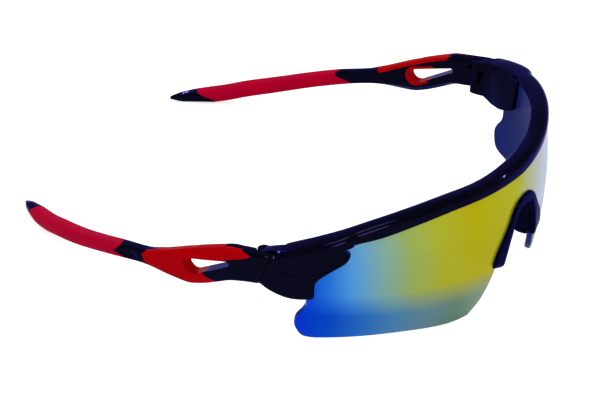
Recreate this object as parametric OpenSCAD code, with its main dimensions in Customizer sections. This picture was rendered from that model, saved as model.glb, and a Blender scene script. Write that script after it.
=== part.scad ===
// Wraparound sports sunglasses: one shield lens hung from a brow bar,
// with two folding arms that carry red inlays and rubber ear grips.
// They lie on a table on the lower edge of the lens and the tips of the arms.
// +Z is up, the front faces -Y, and the origin is under the middle of the part.

/* [Front] */
// Radius of the lens face seen from above
face_r = 76.5; // [74:0.5:79]
// Radius of the lens face seen from the side
face_rv = 99.5; // [92:0.5:115]
// How far the face sweeps back on each side, in degrees
face_turn = 60; // [59:0.5:61]
// Lean of the front against the table, in degrees
rake = 7.3; // [6.5:0.1:8]

/* [Lens] */
// Thickness of the lens
lens_t = 2; // [1.6:0.1:2.4]
// How far the lens goes up into the groove of the brow bar
lens_entry = 2.7; // [2.4:0.1:2.9]
// Half width of the lens inside the jaws, along its face
lens_half = 77.6; // [77.2:0.1:78.2]
// Half width of the lens at its rear lobes, along its face
tail_half = 82; // [81.2:0.1:83]
// Depth of the lens under the datum line at the rear lobes
tail_drop = 25.4; // [24.4:0.1:26.4]
// Depth of the lens under the datum line at its lowest corners
lens_drop = 34.4; // [33:0.1:36]
// Distance of the lowest corners from the middle, along the face
corner_at = 24.8; // [23.5:0.1:26]

/* [Nose cut-out] */
// Depth of the top of the cut-out under the datum line
nose_top = 4.1; // [3.8:0.1:4.4]
// Half width of the round top of the cut-out
nose_half = 5.7; // [5.4:0.1:6.1]
// Height of the round top of the cut-out
nose_arch = 2; // [1.8:0.1:2.3]
// Half width of the cut-out at the lower end of its flanks
nose_foot = 15.3; // [14.6:0.1:16]
// Depth of the lower end of the flanks under the datum line
nose_deep = 25; // [24.2:0.1:26]

/* [Brow bar] */
// Height of the bar's lower edge over the datum line in the middle
bar_mid = 4.1; // [3.8:0.1:4.6]
// Rise of that edge over the eyes
bar_rise = 1.7; // [1.2:0.1:2.1]
// Fall of that edge from over the eyes to the jaws
bar_fall = 1.9; // [1.6:0.1:2.2]
// Height of the bar
bar_tall = 4.6; // [4.3:0.1:5]
// How far the bar stands in front of the lens
bar_front = 0.9; // [0.8:0.1:1.4]
// How far the bar reaches behind the face of the lens
bar_back = 4.4; // [4:0.1:4.8]
// Clearance between the lens and the parts that grip it
groove_gap = 0.12; // [0.08:0.01:0.2]

/* [Jaws] */
// Distance along the face from the middle to the front of the jaws
lobe_at = 64.4; // [63.8:0.1:64.8]
// Depth of the jaws under the datum line
jaw_drop = 10.5; // [10:0.1:11]
// How far the jaws stand in front of the lens
jaw_front = 2.5; // [2.3:0.1:3]
// Step between the block and the lower plate of the jaw
jaw_step = 0.8; // [0.4:0.1:1]
// How far the rear jaw reaches behind the face of the lens
jaw_back = 4.6; // [4.3:0.1:5]

/* [Hinge] */
// Radius of the bend from the front into the arms
bend_r = 17.2; // [16.6:0.1:18]
// Lean of the joint between the front and an arm, in degrees
joint_lean = 24; // [20:1:27]
// Distance of the hinge axis inward from the middle of the arm
hinge_in = 2.5; // [2.4:0.05:2.6]
// Radius of the hinge knuckles
knuckle_r = 1.9; // [1.8:0.05:1.95]
// Height of the middle knuckle, which belongs to the arm
knuckle_h = 5; // [4.4:0.1:5.4]
// Height of the lower ear of the front
ear_low_h = 3.2; // [3:0.1:3.5]
// Height of the upper ear of the front
ear_up_h = 2.2; // [2:0.1:2.4]
// Radius of the screw's shank
screw_r = 0.7; // [0.6:0.05:0.75]
// Radius of the screw's head
head_r = 1.25; // [1.1:0.05:1.35]
// Height of the screw's head
head_h = 0.8; // [0.6:0.1:0.9]
// Clearance between the screw and the holes it goes through
screw_gap = 0.05; // [0.03:0.01:0.1]
// Clearance between faces that slide over each other
hinge_gap = 0.15; // [0.1:0.01:0.2]

/* [Arms] */
// Length of an arm along its middle
arm_len = 108.6; // [104:0.2:114]
// Length of the fore part of an arm, from the joint to the waist
fore_len = 45; // [44.5:0.1:45.5]
// Straight length of an arm behind the joint
arm_lead = 8; // [6:0.5:10]
// Radius of the inward curve of the arms
arm_bend_r = 176; // [165:1:190]
// Height of an arm at the joint
arm_h = 9.8; // [9.5:0.1:10.1]
// Height of an arm at its slot
fork_h = 12; // [11.6:0.1:12.4]
// Height of an arm at its narrowest, in front of the grip
waist_h = 4.7; // [4.4:0.1:5]
// Height of an arm along the grip
tail_h = 5; // [4.8:0.1:5.4]
// Thickness of an arm at the joint
arm_w = 4.4; // [4.2:0.1:4.6]
// Thickness of an arm along the grip
tail_w = 5.2; // [4.8:0.1:5.6]
// Radius of the hollow between inlay and grip
scoop_r = 2.7; // [2.4:0.1:2.8]
// Depth of the hollow between inlay and grip
scoop_d = 0.55; // [0.4:0.05:0.7]
// Radius of the dimple in the tip
dimple_r = 1.35; // [1:0.05:1.5]
// Depth of the dimple in the tip
dimple_d = 0.5; // [0.3:0.1:0.8]

/* [Slot] */
// Distance from the joint to the middle of the slot's front end
slot_front = 10.2; // [9.8:0.1:10.8]
// Radius of the slot's front end
slot_front_r = 0.8; // [0.6:0.1:1]
// Distance from the joint to the middle of the slot's rear end
slot_back = 22.8; // [22.4:0.1:23.4]
// Radius of the slot's rear end
slot_back_r = 2.5; // [2.2:0.1:2.7]
// Height of the slot over the middle of the arm
slot_up = 0.4; // [0.2:0.1:0.6]

/* [Inlays] */
// Thickness of the inlay on the outer face of the arm
inlay_t = 1.5; // [1.3:0.1:1.8]
// Thickness of the inlay over the top edge of the arm
inlay_top_t = 1.1; // [0.9:0.1:1.2]
// Thickness of the inlay's wall round the rear end of the slot
inlay_rim = 0.9; // [0.7:0.1:1]
// Distance from the joint to the rear point of the inlay
inlay_back = 41.1; // [40:0.1:42]
// Height of the arm's edge that shows under the inlay
inlay_line = 0.8; // [0.5:0.1:1]
// Clearance between an inlay and its seat
inlay_gap = 0.05; // [0.03:0.01:0.08]

/* [Ear grips] */
// Distance from the joint to the front edge of the grip, on top
grip_front = 50.5; // [50:0.1:52]
// Distance from the joint to the rear edge of the grip, on top
grip_back = 100; // [98.5:0.1:100.5]
// Thickness of the grip's rubber
grip_t = 0.9; // [0.7:0.05:1.1]
// Clearance between a grip and the arm inside it
grip_gap = 0.04; // [0.03:0.01:0.08]

/* [Nose piece] */
// How far the nose piece stands in front of the lens
nose_front = 1; // [0.8:0.1:1.4]
// How far the nose piece reaches behind the face of the lens
nose_back = 6; // [5.5:0.1:6.6]
// How far the nose piece laps over the edge of the lens
nose_lap = 1.3; // [1.1:0.1:1.5]
// Width of its front band at the top of the arch
band_top = 3.2; // [3:0.1:3.5]
// Width of its front band at the ends of the legs
band_leg = 5.2; // [4.8:0.1:5.5]
// Thickness of the nose pads
pad_t = 1.3; // [1.1:0.1:1.5]
// Clearance between a pad and its seat
pad_gap = 0.05; // [0.03:0.01:0.08]

/* [Hidden] */
$fn = 48;
black = "#101018";
red = "#c00014";
deg = 180 / PI;

// Value at x of a smooth curve through [x, value] pairs with rising x
function slope(t, i) = let (a = max(i - 1, 0), b = min(i + 1, len(t) - 1))
  (t[b][1] - t[a][1]) / (t[b][0] - t[a][0]);
function seg(t, x, i = 0) = i >= len(t) - 2 || x < t[i + 1][0] ? i : seg(t, x, i + 1);
function at(t, x) = let (i = seg(t, x), w = t[i + 1][0] - t[i][0],
    u = max(0, min(1, (x - t[i][0]) / w)), u2 = u * u, u3 = u2 * u)
  t[i][1] * (2 * u3 - 3 * u2 + 1) + slope(t, i) * (w * (u3 - 2 * u2 + u))
  + t[i + 1][1] * (3 * u2 - 2 * u3) + slope(t, i + 1) * (w * (u3 - u2));
function mix(a, b, f) = a + (b - a) * f;
function span(a, b, n) = [for (i = [0:n]) mix(a, b, i / n)];
function flip(v) = [for (i = [len(v) - 1:-1:0]) v[i]];
function total(v, i = 0) = i == len(v) - 1 ? v[i] : v[i] + total(v, i + 1);
function unit(v) = v / norm(v);

// Faces between two rings of n points that start at points a and b, and the
// same faces split along their other diagonal
function band(a, b, n) = [for (j = [0:n - 1]) let (k = (j + 1) % n)
  for (f = [[a + j, a + k, b + k], [a + j, b + k, b + j]]) f];
function turned_band(a, b, n) = [for (j = [0:n - 1]) let (k = (j + 1) % n)
  for (f = [[a + j, a + k, b + j], [a + k, b + k, b + j]]) f];

// Closed solid through rings of equally many points, with fanned ends
module loft(rings) {
  m = len(rings);
  n = len(rings[0]);
  points = concat([for (r = rings) for (p = r) p], [total(rings[0]) / n, total(rings[m - 1]) / n]);
  walls = [for (i = [0:m - 2]) for (f = band(i * n, (i + 1) * n, n)) f];
  ends = [for (j = [0:n - 1]) let (k = (j + 1) % n)
    for (f = [[m * n, k, j], [m * n + 1, (m - 1) * n + j, (m - 1) * n + k]]) f];
  polyhedron(points, concat(walls, ends));
}

// Sleeve through rings that run along its outside and back along its inside,
// where its faces are split as those of the loft inside it
module sleeve(rings) {
  m = len(rings);
  n = len(rings[0]);
  polyhedron([for (r = rings) for (p = r) p],
    [for (i = [0:m - 1]) let (a = i * n, b = ((i + 1) % m) * n)
      for (f = i < m / 2 - 1 ? band(a, b, n) : turned_band(a, b, n)) f]);
}

// Prism along X through an outline of [y, z] points
module side_prism(outline, from, to) {
  translate([from, 0, 0])
    rotate([90, 0, 90])
      linear_extrude(to - from)
        polygon(outline);
}

// The part and its mirror image on the other side
module both() {
  children();
  mirror([1, 0, 0]) children();
}

// The face of the lens is part of a torus. This is the point at s along the
// face from the middle, n in front of it and h over the datum line. Past
// face_end the front turns on bend_r until it heads straight for the arms.
face_end = face_r * face_turn / deg;
function face(s, n, h) = let (
    e = min(abs(s), face_end), a = e / face_r * deg,
    b = a + (abs(s) - e) / bend_r * deg,
    v = asin(h / face_rv), d = (face_rv + n) * cos(v) - face_rv,
    x = face_r * sin(a) + bend_r * (sin(b) - sin(a)) + d * sin(b),
    y = face_r * (1 - cos(a)) + bend_r * (cos(a) - cos(b)) - d * cos(b),
    z = (face_rv + n) * sin(v))
  [sign(s) * x, y * cos(rake) + z * sin(rake), z * cos(rake) - y * sin(rake)];

// Lower edge of the lens as [s, h] against a station u, from the middle of
// the nose cut-out over the lowest corner to the point of the rear lobe
flank_bulge = 0.7;
function flank(f) = [mix(nose_half, nose_foot, f) + flank_bulge * 4 * f * (1 - f),
  -mix(nose_top + nose_arch, nose_deep, f)];
function corner(fs, fh) = [mix(nose_foot, corner_at, fs), -mix(nose_deep, lens_drop, fh)];
function sweep(fs, fh) = [mix(corner_at, tail_half, fs), -mix(lens_drop, tail_drop, fh)];
lobe_rise = 5.8;
lobe_tip = [tail_half, -tail_drop + lobe_rise];
lens_low = [
  [0, [0, -nose_top]],
  [1, [nose_half * 0.58, -nose_top - nose_arch * 0.25]],
  [2, [nose_half, -nose_top - nose_arch]],
  [3, flank(0.18)],
  [4, flank(0.45)],
  [5, flank(0.75)],
  [6, flank(1)],
  [7, corner(0.36, 0.58)],
  [8, corner(0.76, 0.91)],
  [9, corner(1, 1)],
  [10, sweep(0.15, 0.1)],
  [11, sweep(0.44, 0.5)],
  [12, sweep(0.66, 0.73)],
  [13, sweep(0.82, 0.88)],
  [14, sweep(0.93, 1)],
  [15, [tail_half - lobe_rise * 0.26, -tail_drop + lobe_rise * 0.26]],
  [16, [tail_half - lobe_rise * 0.05, -tail_drop + lobe_rise * 0.67]],
  [17, lobe_tip - [0.05, 0.6]]];
lens_end = 17;

// Places along the face: shares of the way from the middle to the jaws, along
// a jaw and on to the joint, and of the height between bar and jaw foot
joint_s = face_end + bend_r * (90 - face_turn) / deg;
function eye(f) = lobe_at * f;
function jaw(f) = mix(lobe_at, lens_half, f);
function end(f) = mix(lens_half, joint_s, f);
function jaw_h(f) = mix(bar_mid, -jaw_drop, f);

// Lower and upper edge of the brow bar over the datum line
function bar_low(s) = at([[0, bar_mid], [eye(0.264), bar_mid + bar_rise * 0.47],
  [eye(0.497), bar_mid + bar_rise], [eye(0.683), bar_mid + bar_rise - bar_fall * 0.17],
  [eye(0.849), bar_mid + bar_rise - bar_fall * 0.64],
  [eye(0.963), bar_mid + bar_rise - bar_fall * 0.8],
  [eye(1.4), bar_mid + bar_rise - bar_fall]], s);
bar_level = bar_mid + bar_tall;
bar_hump = 1.3;
end_fall = 4.7;
bar_step = 1.4;
roof_wall = 1.3;
function bar_top(s) = at([[0, bar_level], [eye(0.29), bar_level + bar_hump * 0.15],
  [eye(0.42), bar_level + bar_hump * 0.69], [eye(0.58), bar_level + bar_hump],
  [eye(0.745), bar_level + bar_hump * 0.69], [eye(0.89), bar_level + bar_hump * 0.15],
  [jaw(0.08), bar_level - end_fall * 0.21], [jaw(0.985), bar_level - end_fall * 0.57],
  [end(0.56), bar_level - end_fall * 0.81], [joint_s, bar_level - end_fall],
  [end(1.16), bar_level - end_fall * 1.1]], s);

// Upper edge of the lens against the same stations, from the groove of the
// brow bar down inside the jaws and out over the rear lobe
function roof(s) = [s, min(bar_low(s) + lens_entry, bar_top(s) - roof_wall)];
lens_up = [
  [0, roof(0)],
  [2, roof(nose_half)],
  [6, roof(nose_foot)],
  [9, roof(corner_at)],
  [11, roof(eye(0.77))],
  [12, roof(eye(0.97))],
  [12.6, roof(jaw(0.46))],
  [13, roof(jaw(0.9))],
  [13.2, [lens_half, jaw_h(0.03)]],
  [13.5, [lens_half, jaw_h(0.5)]],
  [13.8, [lens_half, jaw_h(1.05)]],
  [14.2, [mix(lens_half, tail_half, 0.16), jaw_h(1.24)]],
  [15.5, [mix(lens_half, tail_half, 0.76), mix(jaw_h(1.24), lobe_tip[1], 0.5)]],
  [16.5, [mix(lens_half, tail_half, 0.97), lobe_tip[1] + lobe_rise * 0.22]],
  [17, lobe_tip + [-0.05, 0.6]]];

// Ring of the lens at station u, grown by g on every side
bevel = 0.4;
face_steps = 6;
function course(t, u) = unit(at(t, min(abs(u) + 0.06, lens_end)) - at(t, max(abs(u) - 0.06, 0)));
function lens_ring(u, g) = let (
    cb = course(lens_low, u), ct = course(lens_up, u),
    b = at(lens_low, abs(u)) + g * [cb[1], -cb[0]],
    t = at(lens_up, abs(u)) + g * [-ct[1], ct[0]],
    e = unit(t - b) * min(bevel, norm(t - b) / 4),
    side = u < 0 ? -1 : 1,
    front = concat([[b, g - bevel]], [for (f = span(0, 1, face_steps)) [mix(b + e, t - e, f), g]],
      [[t, g - bevel]]),
    back = [for (q = flip(front)) [q[0], -lens_t - q[1]]])
  [for (q = concat(front, back)) place(side * q[0][0], q[1], q[0][1])];
lens_stations = concat(span(0, 2.4, 4), span(3, 8.5, 9), [9], span(9.6, 12.6, 6),
  span(12.9, 14.1, 7), span(14.4, 17, 7));
module lens_body(g) {
  loft([for (u = concat([for (v = flip(lens_stations)) if (v > 0) -v], lens_stations))
    lens_ring(u, g)]);
}

// Rest: the lowest corners of the lens and the tips of the arms lie on the
// table, and the part's middle is over the origin
datum_z = -min([for (u = span(7, 11, 40)) let (p = at(lens_low, u))
  min(face(p[0], -bevel, p[1])[2], face(p[0], bevel - lens_t, p[1])[2])]);
front_y = face(0, nose_front, -nose_top - band_top + nose_lap + 0.5)[1];
end_front = 2.1;
arm_x = face(joint_s, end_front, 0)[0] - arm_w / 2;
joint_y = face(joint_s, 0, 0)[1] + 0.5;
joint_top = face(joint_s, 0, bar_level - end_fall)[2] + datum_z;
function arm_turn(l) = l < 0 ? l / (bend_r + end_front) * deg
  : max(l - arm_lead, 0) / arm_bend_r * deg;
function arm_xy(l, out) = let (a = arm_turn(l), r = l < 0 ? bend_r + end_front : arm_bend_r)
  [arm_x + r * (cos(a) - 1), joint_y + min(max(l, 0), arm_lead) + r * sin(a)]
  + out * [cos(a), sin(a)];
rear_y = max([for (w = [-1, 0, 1]) arm_xy(arm_len, w * tail_w * 0.27)[1]]);
mid_y = (front_y + rear_y) / 2;
function place(s, n, h) = face(s, n, h) + [0, -mid_y, datum_z];

// Brow frame: lower front edge, top, ridge and lower rear edge of the bar and
// its jaws as [s, h] against a station, from the middle to the joint
bar_ss = [[0, 0], [1, eye(0.264)], [2, eye(0.497)], [3, eye(0.683)], [4, eye(0.849)]];
function bar_edge(s) = [s, bar_low(s)];
front_edge = concat([for (p = bar_ss) [p[0], bar_edge(p[1])]], [
  [5, bar_edge(jaw(-0.12))],
  [6, [jaw(-0.015), bar_low(lobe_at) - 0.9]],
  [7, [lobe_at, jaw_h(0.185)]],
  [8, [jaw(0.13), jaw_h(0.32)]],
  [9, [jaw(0.46), jaw_h(0.46)]],
  [10, [jaw(0.76), jaw_h(0.64)]],
  [11, [jaw(0.826), jaw_h(0.93)]],
  [12, [jaw(0.91), jaw_h(1)]],
  [13, [end(0.34), jaw_h(0.95)]],
  [14, [end(0.76), jaw_h(0.79)]],
  [15, [end(1.16), jaw_h(0.575)]]]);
top_edge = [for (p = concat(bar_ss, [[5, jaw(-0.27)], [6, jaw(-0.11)], [7, jaw(0.045)],
  [8, jaw(0.235)], [9, jaw(0.46)], [10, jaw(0.7)], [11, jaw(0.86)], [12, jaw(0.99)],
  [13, end(0.365)], [14, end(0.77)], [15, end(1.16)]])) [p[0], [p[1], bar_top(p[1])]]];
ridge = concat([for (p = bar_ss) [p[0], [p[1], mix(bar_low(p[1]), bar_top(p[1]), 0.35)]]], [
  [5, [jaw(-0.21), jaw_h(-0.09)]],
  [6, [jaw(-0.076), jaw_h(-0.02)]],
  [7, [jaw(0.03), jaw_h(0.096)]],
  [8, [jaw(0.227), jaw_h(0.253)]],
  [9, [jaw(0.46), jaw_h(0.384)]],
  [10, [jaw(0.7), jaw_h(0.418)]],
  [11, [jaw(0.86), jaw_h(0.445)]],
  [12, [jaw(1.008), jaw_h(0.452)]],
  [13, [end(0.365), jaw_h(0.377)]],
  [14, [end(0.77), jaw_h(0.226)]],
  [15, [end(1.16), jaw_h(0.144)]]]);
rear_edge = concat([for (p = bar_ss) [p[0], bar_edge(p[1]) + [0, bar_step]]], [
  [5, bar_edge(jaw(-0.18)) + [0, bar_step]],
  [6, bar_edge(jaw(0.015)) + [0, bar_step * 0.3]],
  [7, [jaw(0.167), jaw_h(0.144)]],
  [8, [jaw(0.273), jaw_h(0.445)]],
  [9, [jaw(0.394), jaw_h(0.767)]],
  [10, [jaw(0.606), jaw_h(0.877)]],
  [11, [jaw(0.82), jaw_h(0.925)]],
  [12, [jaw(0.99), jaw_h(0.938)]],
  [13, [end(0.365), jaw_h(0.911)]],
  [14, [end(0.76), jaw_h(0.8)]],
  [15, [end(1.16), jaw_h(0.726)]]]);
block_front = [[0, bar_front], [5, bar_front + 0.2], [8, jaw_front], [12, jaw_front - 0.1],
  [14.3, end_front], [15, end_front]];
plate_step = [[0, 0.2], [6, 0.2], [8, jaw_step], [12.5, jaw_step], [14.2, 0.15], [15, 0.1]];
wall_back = [[0, bar_back], [5, bar_back], [8, jaw_back], [15, jaw_back + 0.4]];
wall_foot = [[0, bar_back], [4, bar_back], [6.3, jaw_back * 0.7], [8.5, jaw_back * 0.74],
  [10.5, jaw_back], [15, jaw_back + 0.4]];
foot_edge = 0.6;
function brow_ring(u) = let (v = abs(u), side = u < 0 ? -1 : 1,
    f = at(front_edge, v), g = at(ridge, v), t = at(top_edge, v), r = at(rear_edge, v),
    nf = at(block_front, v), ns = nf - at(plate_step, v), nb = -at(wall_back, v),
    nw = -at(wall_foot, v))
  [for (q = [
    [f, -lens_t * 0.3], [f, ns - 0.45], [f + [0, 0.5], ns],
    [g - [0, 0.35], ns], [g + [0, 0.35], nf],
    [t - [0, 1.8], nf], [t - [0, 0.7], nf - 0.5], [t, nf - 1.7],
    [t, nb + 1.2], [t - [0, 0.9], nb], [r + [0, foot_edge], nw], [r, nw + foot_edge], [r, -lens_t * 0.7]])
    place(side * q[0][0], q[1], q[0][1])];
brow_stations = concat(span(0, 4, 8), span(4.6, 6.6, 4), span(7.1, 12.6, 12), span(13.2, 15, 4));
hinge_x = arm_x - hinge_in;
hinge_y = joint_y - mid_y + 0.6;
knuckle_z = joint_top - arm_h * 0.54;
ear_low_z = knuckle_z - knuckle_h / 2 - hinge_gap;
ear_up_z = knuckle_z + knuckle_h / 2 + hinge_gap;
web_low = 3;
web_up = 6.5;
bore_top = ear_up_z + ear_up_h - 0.5;

// Everything on one side of the slanted joint, g behind its plane
module behind_joint(g, side) {
  depth = 3 * arm_h;
  translate([hinge_x - 2 * arm_w, joint_y - mid_y + g, joint_top - arm_h])
    rotate([joint_lean, 0, 0])
      translate([0, side < 0 ? -depth : 0, -2 * arm_h])
        cube([5 * arm_w, depth, 5 * arm_h]);
}

module ear(z, h, web) {
  translate([hinge_x, hinge_y, z]) cylinder(r = knuckle_r, h = h);
  translate([hinge_x - knuckle_r, hinge_y - web, z]) cube([2 * knuckle_r, web, h]);
}

// Sharp notch between the bar and the front end of a jaw
module crevice() {
  low = bar_low(lobe_at);
  outline = [[jaw(-0.23), low - 0.1], [jaw(0.144), low - 0.1], [jaw(0.144), low - 0.5],
    [jaw(0.04), jaw_h(0.1)], [jaw(-0.23), jaw_h(0.144)]];
  loft([for (n = [-lens_t / 2, jaw_front + 3]) [for (p = outline) place(p[0], n, p[1])]]);
}

module brow_frame() {
  color(black)
    difference() {
      union() {
        difference() {
          loft([for (u = concat([for (v = flip(brow_stations)) if (v > 0) -v], brow_stations))
            brow_ring(u)]);
          both() behind_joint(0, 1);
          both() crevice();
          both()
            translate([hinge_x, hinge_y, ear_low_z])
              cylinder(r = knuckle_r + hinge_gap, h = ear_up_z - ear_low_z);
        }
        both() ear(ear_low_z - ear_low_h, ear_low_h, web_low);
        both() ear(ear_up_z, ear_up_h, web_up);
      }
      lens_body(groove_gap);
      both()
        translate([hinge_x, hinge_y, ear_low_z - ear_low_h - 1])
          cylinder(r = screw_r + screw_gap, h = bore_top - ear_low_z + ear_low_h + 1);
      both()
        translate([hinge_x, hinge_y, ear_low_z - ear_low_h - 1])
          cylinder(r = head_r + screw_gap, h = head_h + 1.1);
    }
}

module shield_lens() {
  color([0.2, 0.35, 0.75, 0.6]) lens_body(0);
}

// Nose piece: points at a distance e from the lens edge into the cut-out
pad_from = 2.3;
pad_to = 5.2;
leg_end = 5.35;
function nose_pt(u, e, n) = let (c = course(lens_low, u),
    p = at(lens_low, abs(u)) + e * [c[1], -c[0]])
  place((u < 0 ? -1 : 1) * p[0], n, p[1]);
function band_w(u) = at([[0, band_top], [3, band_top - 0.1], [leg_end, band_leg]], abs(u));
// Ring shrunk towards its own middle by the factor k
function shrunk(ring, k) = let (c = total(ring) / len(ring)) [for (p = ring) mix(c, p, k)];
function bridge_ring(u) = let (v = abs(u), inner = band_w(v) - nose_lap,
    seat = at([[0, 0], [pad_from - 0.4, 0], [pad_from - 0.2, pad_t], [leg_end, pad_t]], v),
    back = at([[0, nose_back - 1.6], [pad_from, nose_back - 0.7], [leg_end, nose_back - 0.9]], v))
  [for (q = [
    [inner, nose_front - 0.5], [inner - 0.5, nose_front], [0.5 - nose_lap, nose_front],
    [-nose_lap, nose_front - 0.5], [-nose_lap, -lens_t - 1.1], [0.4 - nose_lap, -lens_t - 1.5],
    [-0.2, -lens_t - 1.7], [0.1, -back], [inner - seat - 0.3, -back],
    [inner - seat, -back + 0.3], [inner - seat, -1.1], [inner, -0.9]])
    nose_pt(u, q[0], q[1])];
bridge_stations = concat(span(0, 1.8, 6), [2.1], span(2.3, 5.1, 9));
module nose_bridge() {
  ends = [[leg_end - 0.12, 0.97], [leg_end - 0.04, 0.85], [leg_end, 0.6]];
  color(black)
    difference() {
      loft(concat(
        [for (k = flip(ends)) shrunk(bridge_ring(-k[0]), k[1])],
        [for (v = flip(bridge_stations)) if (v > 0) bridge_ring(-v)],
        [for (v = bridge_stations) bridge_ring(v)],
        [for (k = ends) shrunk(bridge_ring(k[0]), k[1])]));
      lens_body(groove_gap);
    }
}

function pad_ring(u, k) = let (inner = band_w(u) - nose_lap, root = inner - pad_t + pad_gap,
    back = nose_back)
  shrunk([for (q = [[inner - 0.1, -1.2], [inner + 0.25, -2.4], [inner + 0.2, -back + 1.2],
    [inner - 0.3, -back + 0.3], [inner - 0.9, -back], [root, -back], [root, -back + 1],
    [root, -1.2]]) nose_pt(u, q[0], q[1])], k);
module nose_pad(side) {
  color(black)
    loft([for (p = concat([[pad_from, 0.8], [pad_from + 0.1, 0.95]],
        [for (u = span(pad_from + 0.3, pad_to - 0.3, 8)) [u, 1]],
        [[pad_to - 0.12, 0.93], [pad_to, 0.75]]))
      side > 0 ? flip(pad_ring(p[0], p[1])) : pad_ring(-p[0], p[1])]);
}
module nose_pad_right() {
  nose_pad(-1);
}
module nose_pad_left() {
  nose_pad(1);
}

// Arms: underside, height, thickness and roundness against the distance l
// behind the joint; fore(f) is a share of the length up to the waist, and
// tail(f) of the length behind it
lead_in = 5.6;
function fore(f) = fore_len * f;
function tail(f) = mix(fore_len, arm_len, f);
function arm_low(l) = (joint_top - arm_h) * max(0, at([[-lead_in, 1.02], [0, 1],
  [fore(0.196), 0.908], [fore(0.3), 0.813], [fore(0.384), 0.733], [fore(0.462), 0.671],
  [fore(0.527), 0.633], [fore(0.667), 0.621], [fore(0.851), 0.617], [fore(0.942), 0.593],
  [tail(0.09), 0.504], [tail(0.24), 0.392], [tail(0.41), 0.258], [tail(0.6), 0.125],
  [tail(0.7), 0.05], [tail(0.8), 0.005], [tail(0.92), 0], [tail(1), 0.035]], l));
function fork(f) = mix(waist_h, fork_h, f);
function arm_tall(l) = at([[-lead_in, arm_h + 0.2], [0, arm_h],
  [fore(0.133), mix(arm_h, fork_h, 0.24)], [fore(0.267), mix(arm_h, fork_h, 0.7)],
  [fore(0.422), fork_h], [fore(0.533), fork(0.92)], [fore(0.667), fork(0.57)],
  [fore(0.782), fork(0.25)], [fore(0.904), waist_h], [tail(0.09), mix(waist_h, tail_h, 0.6)],
  [tail(0.26), mix(waist_h, tail_h, 0.7)], [tail(0.43), tail_h], [tail(0.76), tail_h * 1.03],
  [tail(0.87), tail_h * 0.85], [tail(0.94), tail_h * 0.58], [tail(1), tail_h * 0.14]], l);
function arm_wide(l) = at([[-lead_in, arm_w], [fore(0.89), arm_w], [tail(0.15), tail_w],
  [tail(0.8), tail_w], [tail(0.94), tail_w * 0.66], [tail(1), tail_w * 0.26]], l);
function arm_round(l) = at([[-lead_in, 6], [fore(0.444), 5], [fore(0.844), 4],
  [fore(1.11), 3], [tail(0.5), 2.8], [arm_len, 2.4]], l);
fork_skew = 1.6;
dimple_at = 6.8;
scoop_at = mix(inlay_back, grip_front, 0.4);
function arm_skew(l) = at([[-lead_in, 0], [fore(0.089), 0], [fore(0.267), fork_skew * 0.75],
  [fore(0.444), fork_skew], [fore(0.622), fork_skew * 0.87], [fore(0.8), fork_skew * 0.31],
  [fore(0.933), 0], [2 * arm_len, 0]], l);
function arm_mid(l) = arm_low(l) + arm_tall(l) / 2;
function arm_top(l) = arm_low(l) + arm_tall(l);
function arm_y(l) = arm_xy(l, 0)[1] - mid_y;
function arm_pt(l, a, inset) = let (c = cos(a), s = sin(a), p = arm_round(l),
    r = pow(pow(abs(c), p) + pow(abs(s), p), -1 / p),
    q = arm_xy(l, (arm_wide(l) / 2 - inset) * r * c))
  [q[0], q[1] - mid_y, arm_mid(l) + (arm_tall(l) / 2 - inset) * r * s
    + (c < 0 && s < 0 ? 2 * c * s * arm_skew(l) : 0)];
angles = [for (i = [0:15]) i * 22.5];
function arm_ring(l, inset) = [for (a = angles) arm_pt(l, a, inset)];

// Front and rear edge of the grip round the arm: 0 is outward, 90 is up
grip_slant = 6.2;
function grip_from(a) = grip_front + grip_slant * at([[0, 0.29], [45, -0.06], [90, 0.02],
  [135, 0.15], [180, -0.35], [225, -0.84], [270, -1], [315, -0.56], [360, 0.29]], a);
function grip_to(a) = grip_back + grip_slant * at([[0, 0.29], [45, 0.06], [90, -0.06],
  [135, -0.15], [180, -0.65], [225, -1.13], [270, -0.4], [315, 0.48], [360, 0.29]], a);
function grip_ring(f, inset, g) = [for (a = angles)
  arm_pt(mix(grip_from(a) + g, grip_to(a) - g, f), a, inset)];
grip_steps = 12;

fore_ls = concat([-lead_in, -lead_in / 2, 0], [for (f = [0.078, 0.156, 0.233, 0.3, 0.356, 0.411,
  0.467, 0.522, 0.578, 0.644, 0.711, 0.778, 0.844, 0.9, 0.956]) fore(f)]);
module fore_arm() {
  loft([for (l = fore_ls) arm_ring(l, 0)]);
}
module whole_arm() {
  loft(concat([for (l = fore_ls) arm_ring(l, 0)],
    [grip_ring(0, 0, 0)],
    [for (f = span(0, 1, grip_steps)) grip_ring(f, grip_t, 0)],
    [grip_ring(1, 0, 0)],
    [for (l = concat(span(grip_back + grip_slant * 0.7, arm_len - 1.2, 3), [arm_len - 0.4, arm_len]))
      arm_ring(l, 0)]));
}

// Outline of the slot, and of the wall round its rear end when grown by g
across = 2.5 * arm_w;
slot_a = [arm_y(slot_front), arm_mid(slot_front) + slot_up];
slot_b = [arm_y(slot_back), arm_mid(slot_back) + slot_up];
function drop(c1, r1, c2, r2) = let (d = c2 - c1, a = atan2(d[1], d[0]), b = acos((r1 - r2) / norm(d)))
  concat([for (t = span(-b, b, 14)) c2 + r2 * [cos(a + t), sin(a + t)]],
    [for (t = span(b, 360 - b, 7)) c1 + r1 * [cos(a + t), sin(a + t)]]);
module slot(g, front) {
  side_prism(drop(mix(slot_a, slot_b, front), mix(slot_front_r, slot_back_r, front) + g,
    slot_b, slot_back_r + g), arm_x - across, arm_x + across);
}

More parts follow.
